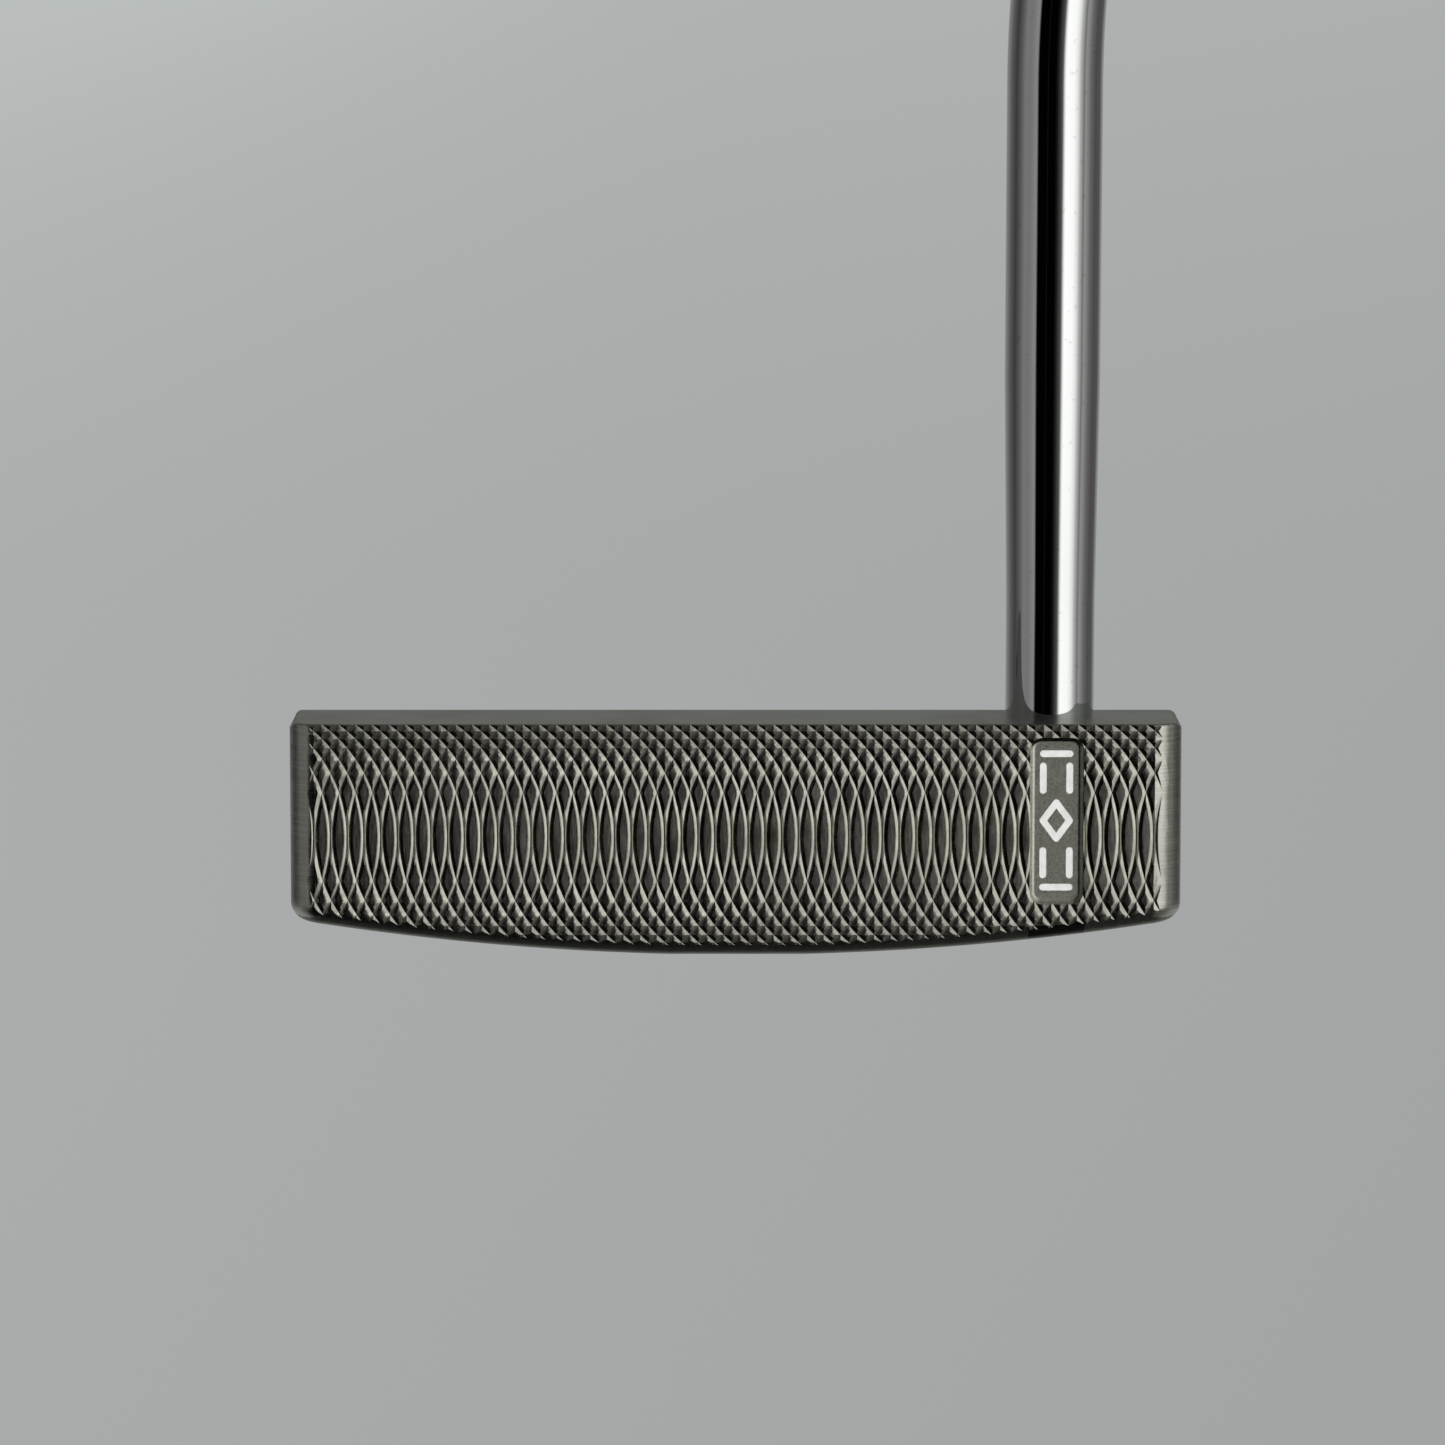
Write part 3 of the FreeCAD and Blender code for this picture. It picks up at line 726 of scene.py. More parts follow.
@dataclass
class FacePattern:
    """The fly-cut pattern: equal rings of V-shaped groove, stepped along the face."""

    pitch: float = 1.7596
    lens_at: float = 0.484
    centre_below_top: float = 11.97
    radius_in_pitches: float = 8.43267
    half_width: float = 0.416
    depth: float = 0.17
    lift: float = 0.012
    step: float = 0.55
    above_top: float = 0.9
    below_top: float = 25.6
    first_lens: int = -28
    last_lens: int = 28
    outside: float = 2.0
    rings_each_way: int = 19
    weld: float = 0.0012
    seam: float = 0.0008
    digits: int = 4
    same_depth: float = 1e-6
    same_place: float = 1e-5
    halvings: int = 24
    feed_drift: tuple[float, float, float, float] = (2.5e-6, 1.27e-4, 3.56e-3, 0.0)

    def __post_init__(self) -> None:
        """Works out the radius and the groove width at the cutter's own land."""
        self.radius = self.radius_in_pitches * self.pitch
        self.reach = self.half_width * (self.depth + self.lift) / self.depth
        self.low = self.centre_below_top - self.below_top
        self.high = self.centre_below_top + self.above_top
        self.centres = np.arange(-self.rings_each_way, self.rings_each_way + 1) * self.pitch

    def sunk(self, x: float, v: float) -> float:
        """Returns how deep the cutter's surface is at a place, negative in front of the face."""
        away = np.abs(np.hypot(x - self.centres, v) - self.radius)
        return max(-self.lift, float((self.depth * (1.0 - away / self.half_width)).max()))

    def _runs(self, curve: Callable, start: float, end: float, own: Callable, length: float) -> list[list]:
        """Finds the parts of a curve that show on the surface.

        Args:
            curve: gives a point from a parameter.
            start: first parameter.
            end: last parameter.
            own: gives the depth that the curve should have at a point.
            length: the curve's length, which sets how many points it gets.

        Returns:
            Lists of points, one for each part that shows.
        """
        def shows(at: float) -> bool:
            """Tells whether the curve shows at a parameter."""
            x, v = curve(at)
            inside = self.low <= v <= self.high
            return inside and self.sunk(x, v) <= own(x, v) + self.same_depth

        def border(seen: float, hidden: float) -> float:
            """Returns the last parameter that shows between a shown one and a hidden one."""
            for _ in range(self.halvings):
                middle = (seen + hidden) / 2
                seen, hidden = (middle, hidden) if shows(middle) else (seen, middle)
            return seen

        count = max(2, int(math.ceil(length / self.step)) + 1)
        places = np.linspace(start, end, count)
        seen = [shows(at) for at in places]
        runs: list[list] = []
        current: list = []
        for index, at in enumerate(places):
            if seen[index]:
                if not current and index > 0:
                    current.append(border(at, places[index - 1]))
                current.append(at)
            elif current:
                current.append(border(places[index - 1], at))
                runs.append(current)
                current = []
        if current:
            runs.append(current)
        return [[curve(at) for at in run] for run in runs if len(run) > 1]

    def _arcs(self, radius: float, own: Callable) -> list[list]:
        """Returns the shown parts, in half a pitch, of all rings at one radius.

        Args:
            radius: the rings' radius.
            own: gives the depth that the ring should have at a point.

        Returns:
            Lists of points.
        """
        found: list[list] = []
        for centre in self.centres:
            near, far = (0.0 - centre) / radius, (self.pitch / 2 - centre) / radius
            if min(abs(near), abs(far)) >= 1.0:
                continue
            angles = sorted(math.acos(max(-1.0, min(1.0, share))) for share in (near, far))
            length = (angles[1] - angles[0]) * radius
            for side in (1.0, -1.0):
                def curve(at: float, c: float = centre, s: float = side) -> tuple[float, float]:
                    """Returns the ring's point at an angle."""
                    return c + radius * math.cos(at), s * radius * math.sin(at)
                found += self._runs(curve, angles[0], angles[1], own, length)
        return found

    def _ridges(self) -> list[list]:
        """Returns the shown parts, in half a pitch, of the ridges between crossing grooves.

        Returns:
            Lists of points.
        """
        found: list[list] = []
        for first in range(len(self.centres)):
            for second in range(first + 1, len(self.centres)):
                gap = self.centres[second] - self.centres[first]
                if gap >= 2 * self.radius:
                    continue
                middle = (self.centres[second] + self.centres[first]) / 2
                minor = math.sqrt(self.radius ** 2 - (gap / 2) ** 2)
                near, far = -middle / self.radius, (self.pitch / 2 - middle) / self.radius
                if min(abs(near), abs(far)) >= 1.0:
                    continue
                angles = sorted(math.acos(max(-1.0, min(1.0, share))) for share in (near, far))

                def own(x: float, v: float, c: float = self.centres[first]) -> float:
                    """Returns the first groove's depth at a place, or -1 outside the groove."""
                    away = abs(math.hypot(x - c, v) - self.radius)
                    depth = self.depth * (1.0 - away / self.half_width)
                    return depth if depth > -self.lift else -1.0

                for side in (1.0, -1.0):
                    def curve(at: float, m: float = middle, b: float = minor, s: float = side) -> tuple:
                        """Returns the ridge's point at an angle."""
                        return m + self.radius * math.cos(at), s * b * math.sin(at)
                    found += self._runs(curve, angles[0], angles[1], own, self.pitch)
        return found

    def half_strip(self) -> tuple[np.ndarray, list[tuple[int, ...]]]:
        """Triangulates the surface over half a pitch.

        Returns:
            Points as across, up and sunk depth, and the triangles.
        """
        curves = self._arcs(self.radius, lambda x, v: self.depth)
        for radius in (self.radius - self.reach, self.radius + self.reach):
            curves += self._arcs(radius, lambda x, v: -self.lift)
        curves += self._ridges()
        wide = self.pitch / 2
        curves.append([(0, self.low), (wide, self.low), (wide, self.high), (0, self.high), (0, self.low)])
        places: dict[tuple[float, float], int] = {}
        edges: set[tuple[int, int]] = set()
        for curve in curves:
            chain = [places.setdefault(self._snap(point), len(places)) for point in curve]
            edges |= {(one, two) for one, two in zip(chain, chain[1:]) if one != two}
        flat = [Vector(point) for point in places]
        points, _, faces, *_ = delaunay_2d_cdt(flat, sorted(edges), [], 0, self.same_place)
        work = bmesh.new()
        corners = [work.verts.new((*self._snap(point), 0.0)) for point in points]
        for face in faces:
            work.faces.new([corners[index] for index in face])
        bmesh.ops.remove_doubles(work, verts=work.verts, dist=self.weld)
        work.verts.index_update()
        solid = [(vert.co.x, vert.co.y, self.sunk(vert.co.x, vert.co.y)) for vert in work.verts]
        triangles = [tuple(vert.index for vert in face.verts) for face in work.faces]
        work.free()
        return np.array(solid), triangles

    def _snap(self, point: Sequence[float]) -> tuple[float, float]:
        """Rounds a place to a fine grid and pulls it on to the half strip's border where it is close.

        Args:
            point: across and up.

        Returns:
            The rounded place.
        """
        x = round(min(self.pitch / 2, max(0.0, point[0])), self.digits)
        v = round(min(self.high, max(self.low, point[1])), self.digits)
        if self.pitch / 2 - x < self.weld:
            x = self.pitch / 2
        return (0.0 if x < self.weld else x), v

    def cutter(self, top_y: float, top_z: float, loft: float) -> bpy.types.Object:
        """Builds the closed cutter that stands in front of the face.

        Args:
            top_y: the face's top edge, along Y.
            top_z: the face's top edge, along Z.
            loft: the face's lean in degrees.

        Returns:
            The cutter.
        """
        strip, faces = self.half_strip()
        points: list[np.ndarray] = []
        every: list[tuple[int, ...]] = []
        for lens in range(self.first_lens, self.last_lens):
            for mirrored in (False, True):
                across = self.pitch - strip[:, 0] if mirrored else strip[:, 0]
                start = sum(len(block) for block in points)
                points.append(np.column_stack((across + self.lens_at + lens * self.pitch, strip[:, 1:])))
                every += [tuple(start + corner for corner in face) for face in faces]
        flat = np.vstack(points)
        flat[:, 0] += np.polyval(self.feed_drift, flat[:, 0])
        lean = math.radians(loft)
        down = self.centre_below_top - flat[:, 1]
        sunk = flat[:, 2]
        placed = np.column_stack((
            flat[:, 0],
            top_y - down * math.sin(lean) + sunk * math.cos(lean),
            top_z - down * math.cos(lean) - sunk * math.sin(lean),
        ))
        piece = new_piece("groove_cutter", placed, every)
        work = bmesh.new()
        work.from_mesh(piece.data)
        bmesh.ops.remove_doubles(work, verts=work.verts, dist=self.seam * MM)
        rim = [edge for edge in work.edges if edge.is_boundary]
        raised = bmesh.ops.extrude_edge_only(work, edges=rim)["geom"]
        front = Vector((0, -math.cos(lean), math.sin(lean)))
        base = Vector((0, top_y, top_z)) * MM
        for vert in (item for item in raised if isinstance(item, bmesh.types.BMVert)):
            vert.co += front * (self.outside * MM - (vert.co - base).dot(front))
        lid = [edge for edge in work.edges if edge.is_boundary]
        bmesh.ops.contextual_create(work, geom=lid)
        bmesh.ops.recalc_face_normals(work, faces=work.faces)
        work.to_mesh(piece.data)
        work.free()
        return piece


# ------------------------------------------------------------------ head

@dataclass
class Head:
    """The milled head: rounded edges, grooved face and zoned finishes."""

    effects: Effects
    loft: float = 3.0
    edge_break: float = 0.3
    break_steps: int = 3
    sharp_turn: float = 35.0
    corner_radius: float = 3.3
    leading_edge_y: float = -15.0
    same_point: float = 1e-7
    flat_turn: float = 0.5
    badge_reach: float = 4.2
    badge_behind: float = 1.6
    badge_top: float = 23.7
    badge_half: float = 3.0
    badge_layer: tuple[float, float] = (0.05, 1.2)
    bore_reach: float = 5.0
    bore_margin: float = 0.4
    bore_below_deck: float = 0.1
    port_reach: float = 7.0
    port_rise: float = 6.0
    sight_half: float = 1.2
    sight_top: float = 9.0
    sight_front: float = -3.0
    turned_away: float = -0.2
    on_face: float = 0.02
    square_on: float = 0.999
    upright: float = 0.6

    def __post_init__(self) -> None:
        """Reads the head's place from the frame."""
        low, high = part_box("head_body")
        self.low, self.high = low / MM, high / MM
        badge_low, badge_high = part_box("badge_mark_fill")
        self.badge_x = (badge_low.x + badge_high.x) / 2 / MM
        plug_low, plug_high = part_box("tip_plug")
        self.bore = (plug_low + plug_high) / 2 / MM
        port_low, port_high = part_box("heel_weight")
        self.port = (port_low + port_high) / 2 / MM
        lean = math.radians(self.loft)
        self.face_top_y = self.leading_edge_y + self.high.z * math.tan(lean)
        self.front = Vector((0, -math.cos(lean), math.sin(lean)))
        self.face_top = Vector((0, self.face_top_y, self.high.z))

    def behind_face(self, point: Vector) -> float:
        """Returns how far a point lies behind the face plane, in millimetres."""
        return -(point - self.face_top).dot(self.front)

    def _keeps_edge(self, edge: bmesh.types.BMEdge) -> bool:
        """Tells whether an edge is one that the maker breaks.

        Args:
            edge: the edge.

        Returns:
            Whether it gets a bevel.
        """
        if len(edge.link_faces) != 2 or edge.calc_face_angle(0.0) < math.radians(self.sharp_turn):
            return False
        for vert in edge.verts:
            point = vert.co / MM
            behind = self.behind_face(point)
            in_badge = (
                abs(point.x - self.badge_x) < self.badge_reach
                and behind < self.badge_behind
                and point.z < self.badge_top
            )
            from_bore = math.hypot(point.x - self.bore.x, point.y - self.bore.y)
            in_bore = from_bore < self.bore_reach + self.bore_margin
            in_port = (
                math.hypot(abs(point.x) - self.port.x, point.y - self.port.y) < self.port_reach
                and point.z < self.port.z + self.port_rise
            )
            in_sight = (
                abs(point.x) < self.sight_half
                and point.z < self.sight_top
                and point.y > self.sight_front
            )
            if in_badge or in_bore or in_port or in_sight:
                return False
        return True

    def body(self) -> bpy.types.Object:
        """Builds the head from the frame's own body.

        Returns:
            The head piece.
        """
        work = bmesh.new()
        work.from_mesh(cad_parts["head_body"].data)
        bmesh.ops.remove_doubles(work, verts=work.verts, dist=self.same_point)
        flat = math.radians(self.flat_turn)
        bmesh.ops.dissolve_limit(work, angle_limit=flat, verts=work.verts, edges=work.edges)
        broken = [edge for edge in work.edges if self._keeps_edge(edge)]
        bmesh.ops.bevel(
            work, geom=broken, offset=self.edge_break * MM, offset_type="OFFSET",
            segments=self.break_steps, profile=0.5, affect="EDGES", clamp_overlap=False,
        )
        for vert in work.verts:
            for axis in range(3):
                vert.co[axis] = min(max(vert.co[axis], self.low[axis] * MM), self.high[axis] * MM)
        mesh = bpy.data.meshes.new("putter_head")
        work.to_mesh(mesh)
        work.free()
        return link("putter_head", mesh)

    def zone(self, face: bpy.types.MeshPolygon) -> HeadZone:
        """Chooses the finish of one face by where it lies and which way it looks.

        Args:
            face: the face.

        Returns:
            Its zone.
        """
        centre = face.center / MM
        behind = self.behind_face(centre)
        from_bore = math.hypot(centre.x - self.bore.x, centre.y - self.bore.y)
        if from_bore < self.bore_reach and centre.z < self.high.z - self.bore_below_deck:
            return HeadZone.BORE_AND_SHADE
        nearest, farthest = self.badge_layer
        beside_badge = abs(centre.x - self.badge_x) < self.badge_half and centre.z < self.badge_top
        if face.material_index == HeadZone.GROOVE.value:
            return HeadZone.GROOVE
        if beside_badge and nearest < behind < farthest:
            # Badge faces turned down get a near-black painted shade: the shadow under the pocket's top lip.
            if face.normal.z < self.turned_away:
                return HeadZone.PAINTED_UNDERCUT_SHADE
            # Badge faces turned towards -X take the dark bore finish as painted shade.
            return HeadZone.BORE_AND_SHADE if face.normal.x < self.turned_away else HeadZone.BADGE
        if abs(behind) < self.on_face and face.normal.dot(self.front) > self.square_on:
            return HeadZone.LAND
        if abs(centre.x) > self.high.x - self.corner_radius and abs(face.normal.z) < self.upright:
            return HeadZone.CORNER
        return HeadZone.BLASTED

    def finishes(self) -> list[bpy.types.Material]:
        """Returns the head's materials in the order of its zones.

        Returns:
            The materials.
        """
        kinds = (
            Steel("blasted_steel", (0.222, 0.236, 0.204), (2600.0, 2600.0, 2600.0), 0.36, 0.1, 0.16),
            Steel(
                "cut_groove_steel", (0.55, 0.535, 0.47), (5200.0, 5200.0, 900.0), 0.2, 0.1, 0.24,
                dirt=0.2, wear_and_highlight=0.2, hollow=0.6,
            ),
            Steel(
                "ground_land_steel", (0.50, 0.475, 0.42), (3800.0, 3800.0, 500.0), 0.38, 0.12, 0.2,
                dirt=0.5, fleck=0.5, wear_and_highlight=0.5,
            ),
            Steel(
                "milled_corner_steel", (0.56, 0.555, 0.505), (40.0, 40.0, 8000.0), 0.2, 0.06, 0.14,
                bump_strength=0.3,
            ),
            Steel(
                "badge_floor_steel", (0.88, 0.87, 0.77), (3600.0, 3600.0, 3600.0), 0.42, 0.1, 0.16,
                fleck=0.6,
            ),
            # The bore finish, also used as painted shade on the badge pocket's -X-facing wall.
            Steel("bored_steel_and_painted_shade", (0.3, 0.3, 0.28), (900.0, 900.0, 6000.0), 0.3, 0.1, 0.2),
            # Near-black painted shade for the badge pocket's downward-facing top fillet.
            Steel("undercut_painted_shade", (0.06, 0.06, 0.055), (900.0, 900.0, 6000.0), 0.3, 0.1, 0.2),
        )
        return [kind.material(self.effects) for kind in kinds]

    def build(self) -> bpy.types.Object:
        """Builds, grooves and dresses the head.

        Returns:
            The finished piece.
        """
        piece = self.body()
        materials = self.finishes()
        dress(piece, *materials)
        cutter = FacePattern().cutter(self.face_top_y, self.high.z, self.loft)
        dress(cutter, *materials)
        count = len(cutter.data.polygons)
        cutter.data.polygons.foreach_set("material_index", [HeadZone.GROOVE.value] * count)
        carve(piece, cutter)
        for face in piece.data.polygons:
            face.material_index = self.zone(face).value
        soften(piece)
        return fix(piece, Slot.HEAD, "head_body")


# ------------------------------------------------------------------ shaft

@dataclass
class Route:
    """The shaft's axis: upright out of the deck, two bends, then straight at the lie angle."""

    lower_bend_above_deck: float = 102.6
    bend_rise: float = 58.0
    bend_radius: float = 130.0
    lie: float = 70.0
    aim_x: float = -2.0
    length: float = 863.6
    grip_length: float = 267.0
    cap_thickness: float = 5.0

    def __post_init__(self) -> None:
        """Reads the foot and the plane of the upper run from the frame."""
        plug_low, plug_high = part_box("tip_plug")
        band_low, band_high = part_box("shaft_band")
        self.foot = (plug_low + plug_high) / 2 / MM
        self.foot.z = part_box("shaft")[0].z / MM
        self.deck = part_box("head_body")[1].z / MM
        self.axis_y = (band_low.y + band_high.y) / 2 / MM
        self.lean = math.radians(90.0 - self.lie)
        self.along = Vector((math.sin(self.lean), 0.0, math.cos(self.lean)))
        self.mouth = self.length - self.grip_length
        self.end = self.length - self.cap_thickness

    def at(self, distance: float) -> Vector:
        """Returns the point on the upper run's axis at a distance from the ground along it."""
        return Vector((self.aim_x, self.axis_y, 0.0)) + self.along * distance

    def corners(self) -> tuple[Vector, Vector]:
        """Returns the two corners that the bends round off.

        Returns:
            The lower and the upper corner.
        """
        low_z = self.deck + self.lower_bend_above_deck
        lower = Vector((self.foot.x, self.foot.y, low_z))
        return lower, self.at((low_z + self.bend_rise) / math.cos(self.lean))

    def bend(self, before: Vector, corner: Vector, after: Vector, steps: int) -> list[tuple[Vector, Vector]]:
        """Rounds one corner.

        Args:
            before: a point before the corner.
            corner: the corner.
            after: a point after it.
            steps: how many stretches the arc gets.

        Returns:
            Points with the direction of the axis at each.
        """
        inward = (corner - before).normalized()
        onward = (after - corner).normalized()
        turn = inward.angle(onward)
        start = corner - inward * (self.bend_radius * math.tan(turn / 2))
        axis = inward.cross(onward).normalized()
        centre = start + axis.cross(inward) * self.bend_radius
        found = []
        for step in range(steps + 1):
            spin = Quaternion(axis, turn * step / steps)
            found.append((centre + spin @ (start - centre), spin @ inward))
        return found


@dataclass
class Shaft:
    """The plated tube: swaged tip, two bends and a stepped upper run."""

    effects: Effects
    route: Route
    tip_radius: float = 4.7
    lower_radius: float = 5.03
    butt_radius: float = 7.35
    wall: float = 0.5
    swage_above_deck: float = 12.0
    swage_length: float = 24.0
    steps: int = 12
    step_taper: float = 3.0
    first_step: float = 40.0
    last_step_below_grip: float = 62.0
    sides: int = 128
    bend_steps: int = 60
    swage_parts: int = 8
    step_outline: tuple[tuple[float, float], ...] = (
        (0.0, 0.0), (0.3, 0.04), (0.5, 0.5), (0.7, 0.96), (1.0, 1.0),
    )
    sharp_angle: float = 40.0

    def stations(self) -> list[tuple[Vector, Vector, float]]:
        """Returns points, directions and radii from the tip to the butt.

        Returns:
            One row for each ring of the tube.
        """
        route = self.route
        foot = route.foot
        up = Vector((0, 0, 1))
        lower, upper = route.corners()
        first = route.bend(foot, lower, upper, self.bend_steps)
        second = route.bend(lower, upper, route.at(route.length), self.bend_steps // 2)
        swage = route.deck + self.swage_above_deck
        found = [
            (foot, up, self.tip_radius),
            (Vector((foot.x, foot.y, route.deck)), up, self.tip_radius),
            (Vector((foot.x, foot.y, swage)), up, self.tip_radius),
        ]
        for part in range(1, self.swage_parts + 1):
            share = part / self.swage_parts
            radius = self.tip_radius + (self.lower_radius - self.tip_radius) * share
            found.append((Vector((foot.x, foot.y, swage + self.swage_length * share)), up, radius))
        found += [(point, way, self.lower_radius) for point, way in first + second]
        start = second[-1][0]
        run = (route.at(route.end) - start).length
        last = run - (route.end - route.mouth) - self.last_step_below_grip
        spacing = (last - self.first_step) / (self.steps - 1)
        rise = (self.butt_radius - self.lower_radius) / self.steps
        for index in range(self.steps):
            height = self.first_step + spacing * index
            radius = self.lower_radius + rise * index
            for extra, share in self.step_outline:
                point = start + route.along * (height + self.step_taper * extra)
                found.append((point, route.along, radius + rise * share))
        found.append((route.at(route.end), route.along, self.butt_radius))
        return found

    def tube(self) -> tuple[np.ndarray, list[tuple[int, ...]]]:
        """Sweeps the tube's outer and inner skins.

        Returns:
            Points and faces.
        """
        stations = self.stations()
        turn = np.arange(self.sides) * 2 * math.pi / self.sides
        across = Vector((1.0, 0.0, 0.0))
        frames = []
        before = stations[0][1]
        for point, way, radius in stations:
            across = before.rotation_difference(way) @ across
            across = (across - way * across.dot(way)).normalized()
            before = way
            frames.append((np.array(point), np.array(across), np.array(way.cross(across)), radius))
        skins = []
        for inset in (0.0, self.wall):
            for centre, east, north, radius in frames:
                reach = radius - inset
                skins.append(centre + reach * (np.outer(np.cos(turn), east) + np.outer(np.sin(turn), north)))
        count = len(frames)
        faces: list[tuple[int, ...]] = []
        for side in range(self.sides):
            after = (side + 1) % self.sides
            for row in range(count - 1):
                low, high = row * self.sides, (row + 1) * self.sides
                faces.append((low + side, low + after, high + after, high + side))
                low, high = low + count * self.sides, high + count * self.sides
                faces.append((low + after, low + side, high + side, high + after))
            inner = count * self.sides
            faces.append((side, inner + side, inner + after, after))
            outer = (count - 1) * self.sides
            faces.append((outer + side, outer + after, outer + inner + after, outer + inner + side))
        return np.vstack(skins), faces

    def build(self) -> bpy.types.Object:
        """Builds and plates the shaft.

        Returns:
            The piece.
        """
        piece = new_piece("plated_shaft", *self.tube())
        smooth(piece, self.sharp_angle)
        dress(piece, Plating().material(self.effects))
        return fix(piece, Slot.SHAFT, "shaft")


# ------------------------------------------------------------------ sole weights

@dataclass
class SoleWeights:
    """The two screw-in weights: turned head, hexagon socket and threaded length."""

    effects: Effects
    head_radius: float = 5.4
    head_thickness: float = 2.0
    thread_radius: float = 4.6
    thread_depth: float = 0.35
    pitch: float = 1.0
    length: float = 8.2
    chamfer: float = 0.25
    socket_across: float = 4.0
    socket_depth: float = 3.0
    camber_radius: float = 292.0
    camber_drop: float = 0.084
    recess: float = 0.25
    from_middle: float = 34.0
    sides: int = 96
    thread_outline: tuple[float, float, float] = (0.35, 0.45, 0.8)
    socket_lead: float = 1.0
    sharp_angle: float = 22.0

    def profile(self) -> list[tuple[float, float]]:
        """Returns radius and depth of the turned outline, from the seen face inward.

        Returns:
            The outline's points.
        """
        outline = [(0.0, 0.0), (self.head_radius - self.chamfer, 0.0), (self.head_radius, self.chamfer)]
        outline += [(self.head_radius, self.head_thickness), (self.thread_radius, self.head_thickness)]
        depth = self.head_thickness + self.pitch / 2
        root = self.thread_radius - self.thread_depth
        down, along, up = (self.pitch * share for share in self.thread_outline)
        while depth + self.pitch <= self.length:
            outline += [
                (self.thread_radius, depth),
                (root, depth + down),
                (root, depth + along),
                (self.thread_radius, depth + up),
            ]
            depth += self.pitch
        outline += [(self.thread_radius, self.length - self.chamfer)]
        outline += [(self.thread_radius - self.chamfer, self.length), (0.0, self.length)]
        return outline

    def socket(self) -> bpy.types.Object:
        """Builds the cutter of the six-sided tool socket.

        Returns:
            The cutter.
        """
        corner = self.socket_across / math.sqrt(3)
        points: list[tuple[float, float, float]] = []
        for level in (-self.socket_lead, self.socket_depth):
            for index in range(6):
                turn = math.radians(60 * index + 30)
                points.append((corner * math.cos(turn), corner * math.sin(turn), level))
        faces = [tuple(range(5, -1, -1)), tuple(range(6, 12))]
        faces += [(index, (index + 1) % 6, 6 + (index + 1) % 6, 6 + index) for index in range(6)]
        return new_piece("socket_cutter", np.array(points), faces)

    def build(self) -> list[bpy.types.Object]:
        """Builds both weights.

        Returns:
            The pieces.
        """
        steel = Steel(
            "turned_weight_steel", (0.46, 0.46, 0.45), (3200.0, 3200.0, 400.0), 0.26, 0.12, 0.2,
            fleck=0.2,
        )
        material = steel.material(self.effects)
        pieces = []
        for name, side in (("toe_weight", -1), ("heel_weight", 1)):
            piece = new_piece(f"{name}_screw", *lathe(self.profile(), self.sides))
            outward(piece)
            cutter = self.socket()
            outward(cutter)
            carve(piece, cutter)
            tilt = math.asin(self.from_middle / self.camber_radius)
            low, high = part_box(name)
            rise = self.camber_radius - math.sqrt(self.camber_radius ** 2 - self.from_middle ** 2)
            rise -= self.camber_drop
            base = Vector((side * self.from_middle, (low.y + high.y) / 2 / MM, rise)) * MM
            inward = Vector((-side * math.sin(tilt), 0.0, math.cos(tilt)))
            spin = Vector((0, 0, 1)).rotation_difference(inward).to_matrix().to_4x4()
            seat = base + inward * self.recess * MM
            piece.data.transform(Matrix.Translation(seat) @ spin)
            dress(piece, material)
            soften(piece, self.sharp_angle)
            pieces.append(fix(piece, Slot.WEIGHT, name))
        return pieces


# ------------------------------------------------------------------ grip

